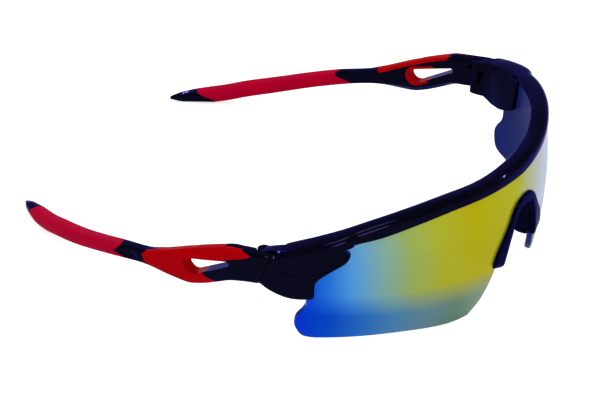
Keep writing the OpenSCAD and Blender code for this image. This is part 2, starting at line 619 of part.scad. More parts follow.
// Outline of the inlay seen from the side, as distance behind the joint and
// height; it runs past the arm's top edge where the inlay wraps over it
over = 2;
inlay_outline = [
  [fore(0.051), arm_top(fore(0.051)) - 1], [fore(0.2), arm_top(fore(0.2)) + over / 2],
  [fore(0.44), arm_top(fore(0.44)) + over], [fore(0.67), arm_top(fore(0.67)) + over],
  [inlay_back - 2, arm_top(inlay_back - 2) + over / 4], [inlay_back, arm_top(inlay_back) - 1],
  [inlay_back - 1, arm_low(inlay_back - 1) + 2 * inlay_line],
  [inlay_back - 3, arm_low(inlay_back - 3) + inlay_line],
  [fore(0.733), arm_low(fore(0.733)) + inlay_line], [fore(0.61), arm_low(fore(0.61)) + inlay_line],
  [fore(0.54), arm_low(fore(0.54)) + inlay_line], [fore(0.52), arm_low(fore(0.52)) - over / 3],
  [fore(0.4), arm_low(fore(0.4)) - over / 2], [fore(0.293), arm_low(fore(0.293)) - over / 2],
  [fore(0.3), arm_low(fore(0.3)) + 0.1], [fore(0.322), arm_low(fore(0.322)) + 1],
  [fore(0.376), arm_low(fore(0.376)) + fork_h * 0.2],
  [fore(0.413), arm_low(fore(0.413)) + fork_h * 0.325], [fore(0.389), slot_b[1] + 0.6],
  [fore(0.362), mix(slot_a[1], slot_b[1], 0.42)], [fore(0.271), slot_a[1] + 0.3],
  [fore(0.196), arm_top(fore(0.196)) - fork_h * 0.283],
  [fore(0.124), arm_top(fore(0.124)) - fork_h * 0.217],
  [fore(0.073), arm_top(fore(0.073)) - fork_h * 0.142]];
module inlay_prism() {
  side_prism([for (p = inlay_outline) [arm_y(p[0]), p[1]]], arm_x - across, arm_x + across);
}

// What stays of the arm inside the inlay
function under_top(l) = lookup(l, [[-lead_in, over], [fore(0.233), over],
  [fore(0.267), -inlay_top_t], [fore(0.8), -inlay_top_t], [fore(0.844), over], [fore(1.1), over]]);
module under_inlay(g) {
  loft([for (f = [0, 0.09, 0.178, 0.233, 0.267, 0.31, 0.378, 0.444, 0.51, 0.578, 0.644, 0.71, 0.8,
      0.844, 0.91, 0.98])
    let (l = fore(f), w = arm_wide(l) / 2, out = w - inlay_t + g, z = arm_top(l) + under_top(l) + g)
    [for (q = [[out, arm_low(l) - over], [out, z], [-w - over, z], [-w - over, arm_low(l) - over]])
      let (p = arm_xy(l, q[0])) [p[0], p[1] - mid_y, q[1]]]]);
}

// Shallow round hollow of radius r and depth d in a face of the arm at l, in
// the outer face with side 1 and in the inner face with side -1
module hollow(l, side, r, d) {
  ball_r = (r * r + d * d) / (2 * d);
  a = arm_turn(l);
  translate(arm_pt(l, side > 0 ? 0 : 180, 0) + side * (ball_r - d) * [cos(a), sin(a), 0])
    sphere(r = ball_r);
}

module arm() {
  color(black)
    difference() {
      union() {
        difference() {
          whole_arm();
          behind_joint(hinge_gap, -1);
          translate([hinge_x - 10, hinge_y - 20, 0])
            cube([10 + knuckle_r + hinge_gap, 20 + knuckle_r + hinge_gap, 60]);
        }
        translate([hinge_x, hinge_y, knuckle_z - knuckle_h / 2])
          cylinder(r = knuckle_r, h = knuckle_h);
        translate([hinge_x - 1.3, hinge_y, knuckle_z - knuckle_h / 2])
          cube([3.7, 3.4, knuckle_h]);
        translate([hinge_x, hinge_y - 0.9, knuckle_z - knuckle_h / 2])
          cube([2.4, 1.5, knuckle_h]);
      }
      difference() {
        inlay_prism();
        difference() {
          under_inlay(-inlay_gap);
          slot(inlay_rim + inlay_gap, 0.55);
        }
      }
      slot(0, 0);
      hollow(arm_len - dimple_at, -1, dimple_r, dimple_d);
      hollow(scoop_at, 1, scoop_r, scoop_d);
      translate([hinge_x, hinge_y, knuckle_z - knuckle_h])
        cylinder(r = screw_r + screw_gap, h = 2 * knuckle_h);
    }
}

module inlay() {
  color(red)
    difference() {
      intersection() {
        fore_arm();
        inlay_prism();
      }
      difference() {
        under_inlay(0);
        slot(inlay_rim, 0.55);
      }
      slot(0, 0);
    }
}

module grip() {
  inside = grip_t - grip_gap;
  color(red)
    sleeve(concat([for (f = span(0, 1, grip_steps)) grip_ring(f, 0, grip_gap)],
      [for (f = span(1, 0, grip_steps)) grip_ring(f, inside, grip_gap)]));
}

// Screw from below: shank, and head with a slot
module screw() {
  color([0.5, 0.5, 0.53])
    translate([hinge_x, hinge_y, ear_low_z - ear_low_h + 0.1])
      difference() {
        union() {
          cylinder(r = screw_r, h = bore_top - ear_low_z + ear_low_h - 0.2);
          cylinder(r = head_r, h = head_h);
        }
        translate([-2, -0.15, -1]) cube([4, 0.3, 1.35]);
      }
}

module temple_arm_left() {
  arm();
}
module temple_arm_right() {
  mirror([1, 0, 0]) arm();
}
module temple_inlay_left() {
  inlay();
}
module temple_inlay_right() {
  mirror([1, 0, 0]) inlay();
}
module ear_grip_left() {
  grip();
}
module ear_grip_right() {
  mirror([1, 0, 0]) grip();
}
module hinge_screw_left() {
  screw();
}
module hinge_screw_right() {
  mirror([1, 0, 0]) screw();
}

brow_frame();
shield_lens();
nose_bridge();
nose_pad_right();
nose_pad_left();
temple_arm_right();
temple_arm_left();
temple_inlay_right();
temple_inlay_left();
ear_grip_right();
ear_grip_left();
hinge_screw_right();
hinge_screw_left();
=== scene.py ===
"""Wraparound sports sunglasses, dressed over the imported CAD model."""
import math
import bmesh
import bpy
import numpy as np
from mathutils import Matrix, Vector


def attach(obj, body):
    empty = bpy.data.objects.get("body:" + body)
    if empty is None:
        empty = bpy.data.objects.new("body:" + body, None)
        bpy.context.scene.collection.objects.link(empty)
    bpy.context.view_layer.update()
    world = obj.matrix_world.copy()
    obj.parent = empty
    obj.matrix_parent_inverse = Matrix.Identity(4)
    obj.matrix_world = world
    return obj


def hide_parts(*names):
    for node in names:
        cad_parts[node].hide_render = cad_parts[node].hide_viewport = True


bl_info = {
    "name": "Sports sunglasses",
    "version": (1, 0, 0),
    "blender": (4, 5, 0),
    "location": "View3D > Sidebar > Sunglasses",
    "description": "Builds wraparound sports sunglasses with a mirrored shield lens",
    "category": "Object",
}

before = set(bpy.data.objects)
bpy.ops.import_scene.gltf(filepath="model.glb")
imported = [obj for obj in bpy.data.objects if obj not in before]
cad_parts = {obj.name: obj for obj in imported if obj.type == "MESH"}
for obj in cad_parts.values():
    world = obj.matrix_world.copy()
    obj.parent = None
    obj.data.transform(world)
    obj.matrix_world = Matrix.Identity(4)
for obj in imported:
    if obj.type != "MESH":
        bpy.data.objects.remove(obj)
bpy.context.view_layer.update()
MM = 0.001
DEG = 180 / math.pi
ARM_SIDES = 48
ARM_ANGLES = [i * 360 / ARM_SIDES for i in range(ARM_SIDES)]
BORE_SIDES = 32
LENS_BREAKS = (0, 2.4, 8.5, 12.6, 14.4, 17)  # stations between stretches of unlike detail

# Name, default in millimetres or degrees, label, and what it is
SIZES = [
    ("face_r", 76.5, "Face radius", "Radius of the lens face seen from above"),
    ("face_rv", 99.5, "Face height radius", "Radius of the lens face seen from the side"),
    ("face_turn", 60, "Face sweep", "How far the face sweeps back on each side, in degrees"),
    ("rake", 7.3, "Rake", "Lean of the front against the table, in degrees"),
    ("lens_t", 2, "Lens thickness", "Thickness of the lens"),
    ("lens_entry", 2.7, "Lens entry", "How far the lens goes up into the groove of the bar"),
    ("lens_half", 77.6, "Lens half width", "Half width of the lens inside the jaws"),
    ("tail_half", 82, "Lobe half width", "Half width of the lens at its rear lobes"),
    ("tail_drop", 25.4, "Lobe depth", "Depth of the lens at its rear lobes"),
    ("lens_drop", 34.4, "Lens depth", "Depth of the lens at its lowest corners"),
    ("corner_at", 24.8, "Corner place", "Distance of the lowest corners from the middle"),
    ("nose_top", 4.1, "Cut-out top", "Depth of the top of the nose cut-out"),
    ("nose_half", 5.7, "Cut-out half width", "Half width of the cut-out's round top"),
    ("nose_arch", 2, "Cut-out arch", "Height of the cut-out's round top"),
    ("nose_foot", 15.3, "Cut-out foot", "Half width of the cut-out at the end of its flanks"),
    ("nose_deep", 25, "Flank depth", "Depth of the lower end of the flanks"),
    ("bar_mid", 4.1, "Bar edge", "Height of the bar's lower edge in the middle"),
    ("bar_rise", 1.7, "Bar rise", "Rise of that edge over the eyes"),
    ("bar_fall", 1.9, "Bar fall", "Fall of that edge to the jaws"),
    ("bar_tall", 4.6, "Bar height", "Height of the bar"),
    ("bar_front", 0.9, "Bar front", "How far the bar stands in front of the lens"),
    ("bar_back", 4.4, "Bar back", "How far the bar reaches behind the lens face"),
    ("groove_gap", 0.12, "Groove gap", "Clearance between the lens and what grips it"),
    ("lobe_at", 64.4, "Jaw front", "Distance from the middle to the front of the jaws"),
    ("jaw_drop", 10.5, "Jaw depth", "Depth of the jaws"),
    ("jaw_front", 2.5, "Jaw front reach", "How far the jaws stand in front of the lens"),
    ("jaw_step", 0.8, "Jaw step", "Step between the block and the jaw's lower plate"),
    ("jaw_back", 4.6, "Jaw back", "How far the rear jaw reaches behind the lens face"),
    ("bend_r", 17.2, "Bend radius", "Radius of the bend from the front into the arms"),
    ("joint_lean", 24, "Joint lean", "Lean of the joint between front and arm, in degrees"),
    ("hinge_in", 2.5, "Hinge offset", "Distance of the hinge axis inward from the arm's middle"),
    ("knuckle_r", 1.9, "Knuckle radius", "Radius of the hinge knuckles"),
    ("knuckle_h", 5, "Knuckle height", "Height of the middle knuckle"),
    ("ear_low_h", 3.2, "Lower ear", "Height of the lower hinge ear"),
    ("ear_up_h", 2.2, "Upper ear", "Height of the upper hinge ear"),
    ("screw_r", 0.7, "Screw radius", "Radius of the screw's shank"),
    ("head_r", 1.25, "Head radius", "Radius of the screw's head"),
    ("head_h", 0.8, "Head height", "Height of the screw's head"),
    ("screw_gap", 0.05, "Screw gap", "Clearance between the screw and its holes"),
    ("hinge_gap", 0.15, "Hinge gap", "Clearance between faces that slide over each other"),
    ("arm_len", 108.6, "Arm length", "Length of an arm along its middle"),
    ("fore_len", 45, "Fore length", "Length of an arm from the joint to its waist"),
    ("arm_lead", 8, "Arm lead", "Straight length of an arm behind the joint"),
    ("arm_bend_r", 176, "Arm curve", "Radius of the inward curve of the arms"),
    ("arm_h", 9.8, "Arm height", "Height of an arm at the joint"),
    ("fork_h", 12, "Slot height", "Height of an arm at its slot"),
    ("waist_h", 4.7, "Waist height", "Height of an arm at its narrowest"),
    ("tail_h", 5, "Tail height", "Height of an arm along the grip"),
    ("arm_w", 4.4, "Arm thickness", "Thickness of an arm at the joint"),
    ("tail_w", 5.2, "Tail thickness", "Thickness of an arm along the grip"),
    ("scoop_r", 2.7, "Hollow radius", "Radius of the hollow between inlay and grip"),
    ("scoop_d", 0.55, "Hollow depth", "Depth of the hollow between inlay and grip"),
    ("dimple_r", 1.35, "Dimple radius", "Radius of the dimple in the tip"),
    ("dimple_d", 0.5, "Dimple depth", "Depth of the dimple in the tip"),
    ("slot_front", 10.2, "Slot front", "Distance from the joint to the slot's front end"),
    ("slot_front_r", 0.8, "Slot front radius", "Radius of the slot's front end"),
    ("slot_back", 22.8, "Slot back", "Distance from the joint to the slot's rear end"),
    ("slot_back_r", 2.5, "Slot back radius", "Radius of the slot's rear end"),
    ("slot_up", 0.4, "Slot height offset", "Height of the slot over the middle of the arm"),
    ("inlay_t", 1.5, "Inlay thickness", "Thickness of the inlay on the outer face"),
    ("inlay_top_t", 1.1, "Inlay top", "Thickness of the inlay over the top edge"),
    ("inlay_rim", 0.9, "Inlay rim", "Thickness of the wall round the slot's rear end"),
    ("inlay_back", 41.1, "Inlay point", "Distance from the joint to the inlay's rear point"),
    ("inlay_line", 0.8, "Inlay line", "Height of the arm's edge under the inlay"),
    ("inlay_gap", 0.05, "Inlay gap", "Clearance between an inlay and its seat"),
    ("grip_front", 50.5, "Grip front", "Distance from the joint to the grip's front edge"),
    ("grip_back", 100, "Grip back", "Distance from the joint to the grip's rear edge"),
    ("grip_t", 0.9, "Grip thickness", "Thickness of the grip's rubber"),
    ("grip_gap", 0.04, "Grip gap", "Clearance between a grip and the arm inside it"),
    ("nose_front", 1, "Nose piece front", "How far the nose piece stands in front of the lens"),
    ("nose_back", 6, "Nose piece back", "How far the nose piece reaches behind the lens face"),
    ("nose_lap", 1.3, "Nose piece lap", "How far the nose piece laps over the lens"),
    ("band_top", 3.2, "Band top", "Width of the front band at the top of the arch"),
    ("band_leg", 5.2, "Band leg", "Width of the front band at the ends of the legs"),
    ("pad_t", 1.3, "Pad thickness", "Thickness of the nose pads"),
    ("pad_gap", 0.05, "Pad gap", "Clearance between a pad and its seat"),
]
ANGLES = ("face_turn", "rake", "joint_lean")

# Name, default, label, and what it is
COLOURS = [
    ("black", (0.001, 0.001, 0.014), "Frame colour", "Colour of the gloss black frame"),
    ("red", (0.44, 0.0, 0.003), "Inlay colour", "Colour of the inlays"),
    ("crimson", (0.45, 0.0, 0.018), "Grip colour", "Colour of the ear grips"),
    ("steel", (0.45, 0.45, 0.48), "Screw colour", "Colour of the hinge screws"),
    ("inside", (0.009, 0.018, 0.15), "Lens inside", "Colour of the lens seen from behind"),
    # painted sheen: a pale colour painted on the mirror at flat angles, partly the coating's shift
    # of colour with angle, partly standing in for its grazing reflection
    ("haze", (0.55, 0.65, 0.98), "Lens haze", "Colour of the mirror at a flat angle"),
]


def size_property(name, value, label, text):
    """A length or an angle with its unit."""
    if name in ANGLES:
        return bpy.props.FloatProperty(name=label, description=text, default=value / DEG, min=0,
                                       unit="ROTATION")
    return bpy.props.FloatProperty(name=label, description=text, default=value * MM, min=0,
                                   precision=5, unit="LENGTH")


class SunglassSizes(bpy.types.PropertyGroup):
    """Sizes of the sunglasses"""
    __annotations__ = {row[0]: size_property(*row) for row in SIZES}


class SunglassColours(bpy.types.PropertyGroup):
    """Colours of the sunglasses"""
    __annotations__ = {
        name: bpy.props.FloatVectorProperty(name=label, description=text, default=value,
                                            subtype="COLOR", size=3, min=0, max=1)
        for name, value, label, text in COLOURS}


# ---- shape functions, in millimetres, as in the part's source ----
def mix(a, b, f):
    """The value at share f of the way from a to b."""
    return a + (b - a) * f


def span(a, b, n):
    """The ends of n equal steps from a to b."""
    return [mix(a, b, i / n) for i in range(n + 1)]


def smooth(table, x):
    """Value at x of a smooth curve through (x, value) pairs."""
    xs = [p[0] for p in table]
    vs = [np.array(p[1], float) for p in table]
    last = len(xs) - 1
    i = 0
    while i < last - 1 and x >= xs[i + 1]:
        i += 1

    def slope(k):
        a, b = max(k - 1, 0), min(k + 1, last)
        return (vs[b] - vs[a]) / (xs[b] - xs[a])

    w = xs[i + 1] - xs[i]
    u = max(0.0, min(1.0, (x - xs[i]) / w))
    return (vs[i] * (2 * u ** 3 - 3 * u * u + 1) + slope(i) * w * (u ** 3 - 2 * u * u + u)
            + vs[i + 1] * (3 * u * u - 2 * u ** 3) + slope(i + 1) * w * (u ** 3 - u * u))


def level(table, x):
    """Value at x of a smooth curve through (x, number) pairs, as a plain number."""
    return float(smooth(table, x))


def rad(a):
    """Degrees in radians."""
    return a / DEG


def shrunk(ring, k):
    """The section shrunk to the share k about its middle."""
    mid = sum(ring) / len(ring)
    return [mix(mid, p, k) for p in ring]


class Shape:
    """The curves and sections that all pieces share, in millimetres.

    A place on the front is (s, n, h): s runs from the middle along the lens face, n out of the
    face and h up. A place on an arm is l, its distance behind the joint. u is a station of the
    tables, and its sign gives the side.
    """
    end_fall = 4.7  # fall of the bar's top edge from the middle to the joint
    brow_hump = 1.3  # rise of that edge over the eyes
    bar_step = 1.4  # height of the bar's rear lower edge over the front one
    roof_wall = 1.3  # least wall of the bar over the lens
    end_front = 2.1  # how far the ends of the bar stand in front of the face
    bevel = 0.4  # bevel along the edge of the lens
    lobe_rise = 5.8  # height of the rear tip of a lobe over its foot
    flank_bow = 2.8  # how strongly the flanks of the nose cut-out bow out
    lens_last = 17  # last station of the lens
    pad_from, pad_to, leg_end = 2.3, 5.2, 5.35  # stations of the pads and of the legs' ends
    lead_in = 5.6  # how far an arm's form starts in front of the joint
    grip_slant = 6.2  # reach along the arm of the slant of the grip's edges
    skew = 1.6  # lift of the lower edge on the inner side of the arm's fork
    joint_back = 0.5  # how far the joint stands behind the end of the face's bend
    axis_back = 0.6  # distance of the hinge axis behind the joint
    knuckle_at = 0.54  # share of the arm's height at which the knuckle lies under the top
    bore_roof = 0.5  # thickness of the upper ear over the screw's end
    low_web, up_web = 3, 6.5  # reach of the hinge ears' webs in front of the axis
    tongue_in, tongue_out, tongue_back = 1.3, 2.4, 3.4  # reach of the knuckle's tongue
    root_front, root_back = 0.9, 0.6  # reach of the tongue's root on either side of the axis
    rim_from = 0.55  # share of the slot's length at which the inlay's rim starts
    dimple_at = 6.8  # distance of the dimple from the tip
    scoop_at = 0.4  # share of the way from inlay to grip at which the hollow lies
    over = 2  # how far a cutting form reaches past the surface

    def __init__(self, sizes):
        for name, *_ in SIZES:
            value = getattr(sizes, name)
            setattr(self, name, round(value * DEG if name in ANGLES else value / MM, 5))
        z = self
        z.face_end = z.face_r * z.face_turn / DEG
        z.bar_level = z.bar_mid + z.bar_tall
        z.joint_s = z.face_end + z.bend_r * rad(90 - z.face_turn)
        rise, hump = z.lobe_rise, z.brow_hump
        lobe = np.array([z.tail_half, -z.tail_drop + rise])

        def flank(f):
            return (mix(z.nose_half, z.nose_foot, f) + z.flank_bow * f * (1 - f),
                    -mix(z.nose_top + z.nose_arch, z.nose_deep, f))

        def corner(fs, fh):
            return mix(z.nose_foot, z.corner_at, fs), -mix(z.nose_deep, z.lens_drop, fh)

        def sweep(fs, fh):
            return mix(z.corner_at, z.tail_half, fs), -mix(z.lens_drop, z.tail_drop, fh)

        z.lens_low = list(enumerate([
            (0, -z.nose_top), (z.nose_half * 0.58, -z.nose_top - z.nose_arch * 0.25),
            (z.nose_half, -z.nose_top - z.nose_arch), flank(0.18), flank(0.45), flank(0.75),
            flank(1), corner(0.36, 0.58), corner(0.76, 0.91), corner(1, 1), sweep(0.15, 0.1),
            sweep(0.44, 0.5), sweep(0.66, 0.73), sweep(0.82, 0.88), sweep(0.93, 1),
            (z.tail_half - rise * 0.26, -z.tail_drop + rise * 0.26),
            (z.tail_half - rise * 0.05, -z.tail_drop + rise * 0.67),
            lobe - (0.05, 0.6)]))
        m, r, f, eye, jaw, end = z.bar_mid, z.bar_rise, z.bar_fall, z.eye, z.jaw, z.end
        z.low_table = [
            (0, m), (eye(0.264), m + r * 0.47), (eye(0.497), m + r),
            (eye(0.683), m + r - f * 0.17), (eye(0.849), m + r - f * 0.64),
            (eye(0.963), m + r - f * 0.8), (eye(1.4), m + r - f)]
        z.top_table = [(0, z.bar_level)] + [(eye(a), z.bar_level + hump * b) for a, b in (
            (0.29, 0.15), (0.42, 0.69), (0.58, 1), (0.745, 0.69), (0.89, 0.15))] + [
                (a, z.bar_level - z.end_fall * b) for a, b in (
                    (jaw(0.08), 0.21), (jaw(0.985), 0.57), (end(0.56), 0.81), (z.joint_s, 1),
                    (end(1.16), 1.1))]
        half, wide = z.lens_half, z.tail_half
        z.lens_up = [
            (0, z.roof(0)), (2, z.roof(z.nose_half)), (6, z.roof(z.nose_foot)),
            (9, z.roof(z.corner_at)), (11, z.roof(eye(0.77))), (12, z.roof(eye(0.97))),
            (12.6, z.roof(jaw(0.46))), (13, z.roof(jaw(0.9))), (13.2, (half, z.jaw_h(0.03))),
            (13.5, (half, z.jaw_h(0.5))), (13.8, (half, z.jaw_h(1.05))),
            (14.2, (mix(half, wide, 0.16), z.jaw_h(1.24))),
            (15.5, (mix(half, wide, 0.76), mix(z.jaw_h(1.24), lobe[1], 0.5))),
            (16.5, (mix(half, wide, 0.97), lobe[1] + rise * 0.22)), (17, lobe + (-0.05, 0.6))]
        # The lens stands on the table at its lowest corners
        corners = [smooth(z.lens_low, u) for u in span(7, 11, 40)]
        z.datum_z = -min(z.face(s, n, h)[2] for s, h in corners
                         for n in (-z.bevel, z.bevel - z.lens_t))
        z.arm_x = z.face(z.joint_s, z.end_front, 0)[0] - z.arm_w / 2
        z.joint_y = z.face(z.joint_s, 0, 0)[1] + z.joint_back
        z.joint_top = z.face(z.joint_s, 0, z.bar_level - z.end_fall)[2] + z.datum_z
        front_y = z.face(0, z.nose_front, 0.5 - z.nose_top - z.band_top + z.nose_lap)[1]
        rear_y = max(z.arm_xy(z.arm_len, w * z.tail_w * 0.27)[1] for w in (-1, 0, 1))
        z.mid_y = (front_y + rear_y) / 2
        z.hinge_x = z.arm_x - z.hinge_in
        z.hinge_y = z.joint_y - z.mid_y + z.axis_back
        z.knuckle_z = z.joint_top - z.arm_h * z.knuckle_at
        z.ear_low_z = z.knuckle_z - z.knuckle_h / 2 - z.hinge_gap
        z.ear_up_z = z.knuckle_z + z.knuckle_h / 2 + z.hinge_gap
        z.bore_top = z.ear_up_z + z.ear_up_h - z.bore_roof
        z.brow_tables()
        z.arm_tables()

    def face(self, s, n, h):
        """Point of the front in the face's own place."""
        z = self
        e = min(abs(s), z.face_end)
        a = e / z.face_r
        b = a + (abs(s) - e) / z.bend_r
        v = math.asin(h / z.face_rv)
        d = (z.face_rv + n) * math.cos(v) - z.face_rv
        x = z.face_r * math.sin(a) + z.bend_r * (math.sin(b) - math.sin(a)) + d * math.sin(b)
        y = z.face_r * (1 - math.cos(a)) + z.bend_r * (math.cos(a) - math.cos(b)) - d * math.cos(b)
        up = (z.face_rv + n) * math.sin(v)
        c, q = math.cos(rad(z.rake)), math.sin(rad(z.rake))
        return np.array([math.copysign(x, s) if s else 0.0, y * c + up * q, up * c - y * q])

    def place(self, s, n, h):
        """Point of the front, standing on the table and centred from front to back."""
        return self.face(s, n, h) + (0, -self.mid_y, self.datum_z)

    def eye(self, f):
        """Share of the way from the middle to the jaws."""
        return self.lobe_at * f

    def jaw(self, f):
        """Share of the way along a jaw."""
        return mix(self.lobe_at, self.lens_half, f)

    def end(self, f):
        """Share of the way from a jaw to the joint."""
        return mix(self.lens_half, self.joint_s, f)

    def jaw_h(self, f):
        """Share of the height from the bar down to the foot of a jaw."""
        return mix(self.bar_mid, -self.jaw_drop, f)

    def bar_low(self, s):
        """Height of the bar's lower edge."""
        return level(self.low_table, s)

    def bar_top(self, s):
        """Height of the bar's top edge."""
        return level(self.top_table, s)

    def roof(self, s):
        """Top edge of the lens, inside the bar."""
        return s, min(self.bar_low(s) + self.lens_entry, self.bar_top(s) - self.roof_wall)

    def course(self, table, u):
        """Direction in which a curve runs at a station."""
        ahead, behind = min(abs(u) + 0.06, self.lens_last), max(abs(u) - 0.06, 0)
        d = smooth(table, ahead) - smooth(table, behind)
        return d / np.linalg.norm(d)

    def lens_ring(self, u, grow, steps):
        """Section of the lens from its lower to its top edge, grown by a clearance."""
        z = self
        cb, ct = z.course(z.lens_low, u), z.course(z.lens_up, u)
        b = smooth(z.lens_low, abs(u)) + grow * np.array([cb[1], -cb[0]])
        t = smooth(z.lens_up, abs(u)) + grow * np.array([-ct[1], ct[0]])
        gap = np.linalg.norm(t - b)
        e = (t - b) / gap * min(z.bevel, gap / 4)
        side = -1 if u < 0 else 1
        front = [(b, grow - z.bevel)] + [(mix(b + e, t - e, f), grow) for f in span(0, 1, steps)]
        front.append((t, grow - z.bevel))
        back = [(p, -z.lens_t - n) for p, n in reversed(front)]
        return [z.place(side * p[0], n, p[1]) for p, n in front + back]

    def arm_turn(self, l):
        """Angle by which an arm has turned inward."""
        if l < 0:
            return l / (self.bend_r + self.end_front)
        return max(l - self.arm_lead, 0) / self.arm_bend_r

    def arm_xy(self, l, out):
        """Point beside the middle of an arm, seen from above."""
        z = self
        a = z.arm_turn(l)
        r = z.bend_r + z.end_front if l < 0 else z.arm_bend_r
        return np.array([z.arm_x + r * (math.cos(a) - 1) + out * math.cos(a),
                         z.joint_y + min(max(l, 0), z.arm_lead) + r * math.sin(a)
                         + out * math.sin(a)])

    def brow_tables(self):
        """Edges of the bar and its jaws, and their reach to the front and to the back."""
        z = self
        eye, jaw, end, h, low = z.eye, z.jaw, z.end, z.jaw_h, z.bar_low
        base = [0, eye(0.264), eye(0.497), eye(0.683), eye(0.849)]
        step = z.bar_step
        z.front_edge = list(enumerate([(s, low(s)) for s in base] + [
            (jaw(-0.12), low(jaw(-0.12))), (jaw(-0.015), low(z.lobe_at) - 0.9),
            (z.lobe_at, h(0.185)), (jaw(0.13), h(0.32)), (jaw(0.46), h(0.46)),
            (jaw(0.76), h(0.64)), (jaw(0.826), h(0.93)), (jaw(0.91), h(1)),
            (end(0.34), h(0.95)), (end(0.76), h(0.79)), (end(1.16), h(0.575))]))
        z.top_edge = [(u, (s, z.bar_top(s))) for u, s in enumerate(base + [
            jaw(-0.27), jaw(-0.11), jaw(0.045), jaw(0.235), jaw(0.46), jaw(0.7), jaw(0.86),
            jaw(0.99), end(0.365), end(0.77), end(1.16)])]
        z.ridge = list(enumerate([(s, mix(low(s), z.bar_top(s), 0.35)) for s in base] + [
            (jaw(-0.21), h(-0.09)), (jaw(-0.076), h(-0.02)), (jaw(0.03), h(0.096)),
            (jaw(0.227), h(0.253)), (jaw(0.46), h(0.384)), (jaw(0.7), h(0.418)),
            (jaw(0.86), h(0.445)), (jaw(1.008), h(0.452)), (end(0.365), h(0.377)),
            (end(0.77), h(0.226)), (end(1.16), h(0.144))]))
        z.rear_edge = list(enumerate([(s, low(s) + step) for s in base] + [
            (jaw(-0.18), low(jaw(-0.18)) + step), (jaw(0.015), low(jaw(0.015)) + step * 0.3),
            (jaw(0.167), h(0.144)), (jaw(0.273), h(0.445)), (jaw(0.394), h(0.767)),
            (jaw(0.606), h(0.877)), (jaw(0.82), h(0.925)), (jaw(0.99), h(0.938)),
            (end(0.365), h(0.911)), (end(0.76), h(0.8)), (end(1.16), h(0.726))]))
        z.block_front = [(0, z.bar_front), (5, z.bar_front + 0.2), (8, z.jaw_front),
                         (12, z.jaw_front - 0.1), (14.3, z.end_front), (15, z.end_front)]
        z.plate_step = [(0, 0.2), (6, 0.2), (8, z.jaw_step), (12.5, z.jaw_step), (14.2, 0.15),
                        (15, 0.1)]
        z.wall_back = [(0, z.bar_back), (5, z.bar_back), (8, z.jaw_back), (15, z.jaw_back + 0.4)]
        z.wall_foot = [(0, z.bar_back), (4, z.bar_back), (6.3, z.jaw_back * 0.7),
                       (8.5, z.jaw_back * 0.74), (10.5, z.jaw_back), (15, z.jaw_back + 0.4)]

    def brow_ring(self, u):
        """Section of the bar, up its front, over its top and down its back."""
        z = self
        v, side = abs(u), -1 if u < 0 else 1
        f, g, t, r = (smooth(k, v) for k in (z.front_edge, z.ridge, z.top_edge, z.rear_edge))
        nf = level(z.block_front, v)
        ns = nf - level(z.plate_step, v)
        nb, nw = -level(z.wall_back, v), -level(z.wall_foot, v)
        up = np.array([0, 1])
        pts = [(f, -z.lens_t * 0.3), (f, ns - 0.45), (f + 0.15 * up, ns - 0.13),
               (f + 0.5 * up, ns), (g - 0.35 * up, ns), (g + 0.35 * up, nf), (t - 1.8 * up, nf),
               (t - 1.15 * up, nf - 0.14), (t - 0.6 * up, nf - 0.5), (t - 0.2 * up, nf - 1.05),
               (t, nf - 1.8), (t, nb + 1.2), (t - 0.12 * up, nb + 0.6),
               (t - 0.45 * up, nb + 0.15), (t - 0.9 * up, nb), (r + 0.6 * up, nw),
               (r + 0.18 * up, nw + 0.18), (r, nw + 0.6), (r, -z.lens_t * 0.7)]
        return [z.place(side * p[0], n, p[1]) for p, n in pts]

    def nose_pt(self, u, e, n):
        """Point at a distance e from the edge of the cut-out, away from the lens."""
        z = self
        c = z.course(z.lens_low, u)
        p = smooth(z.lens_low, abs(u)) + e * np.array([c[1], -c[0]])
        return z.place((-1 if u < 0 else 1) * p[0], n, p[1])

    def band_w(self, u):
        """Width of the nose piece's front band."""
        return level([(0, self.band_top), (3, self.band_top - 0.1), (self.leg_end, self.band_leg)],
                     abs(u))

    def bridge_ring(self, u):
        """Section of the nose piece, with the seat of a pad in its legs."""
        z = self
        v = abs(u)
        inner = z.band_w(v) - z.nose_lap
        seat = level([(0, 0), (z.pad_from - 0.4, 0), (z.pad_from - 0.2, z.pad_t),
                      (z.leg_end, z.pad_t)], v)
        back = level([(0, z.nose_back - 1.6), (z.pad_from, z.nose_back - 0.7),
                      (z.leg_end, z.nose_back - 0.9)], v)
        lap = z.nose_lap + level([(0, 0), (3, 0), (4.5, 1.3), (z.leg_end, 0.9)], v)
        nf = z.nose_front
        pts = [(inner, nf - 0.7), (inner - 0.1, nf - 0.3), (inner - 0.4, nf - 0.04),
               (inner - 0.8, nf), (0.8 - lap, nf), (0.4 - lap, nf - 0.04), (0.1 - lap, nf - 0.3),
               (-lap, nf - 0.7), (-lap, -z.lens_t - 1.1), (0.4 - lap, -z.lens_t - 1.5),
               (-0.2, -z.lens_t - 1.7), (0.1, -back), (inner - seat - 0.3, -back),
               (inner - seat, -back + 0.3), (inner - seat, -1.1), (inner, -0.9)]
        return [z.nose_pt(u, e, n) for e, n in pts]

    def pad_ring(self, u, k):
        """Section of a nose pad, shrunk to the share k."""
        z = self
        inner = z.band_w(u) - z.nose_lap
        root, back = inner - z.pad_t + z.pad_gap, z.nose_back
        pts = [(inner - 0.3, -1.05), (inner, -1.15), (inner + 0.2, -1.6), (inner + 0.28, -2.6),
               (inner + 0.22, -back + 1.4), (inner + 0.05, -back + 0.7),
               (inner - 0.3, -back + 0.25), (inner - 0.8, -back + 0.02), (root, -back),
               (root, -back + 1), (root, -1.2)]
        return shrunk([z.nose_pt(u, e, n) for e, n in pts], k)

    def fore(self, f):
        """Share of the length of an arm up to its waist."""
        return self.fore_len * f

    def tail(self, f):
        """Share of the length of an arm behind its waist."""
        return mix(self.fore_len, self.arm_len, f)

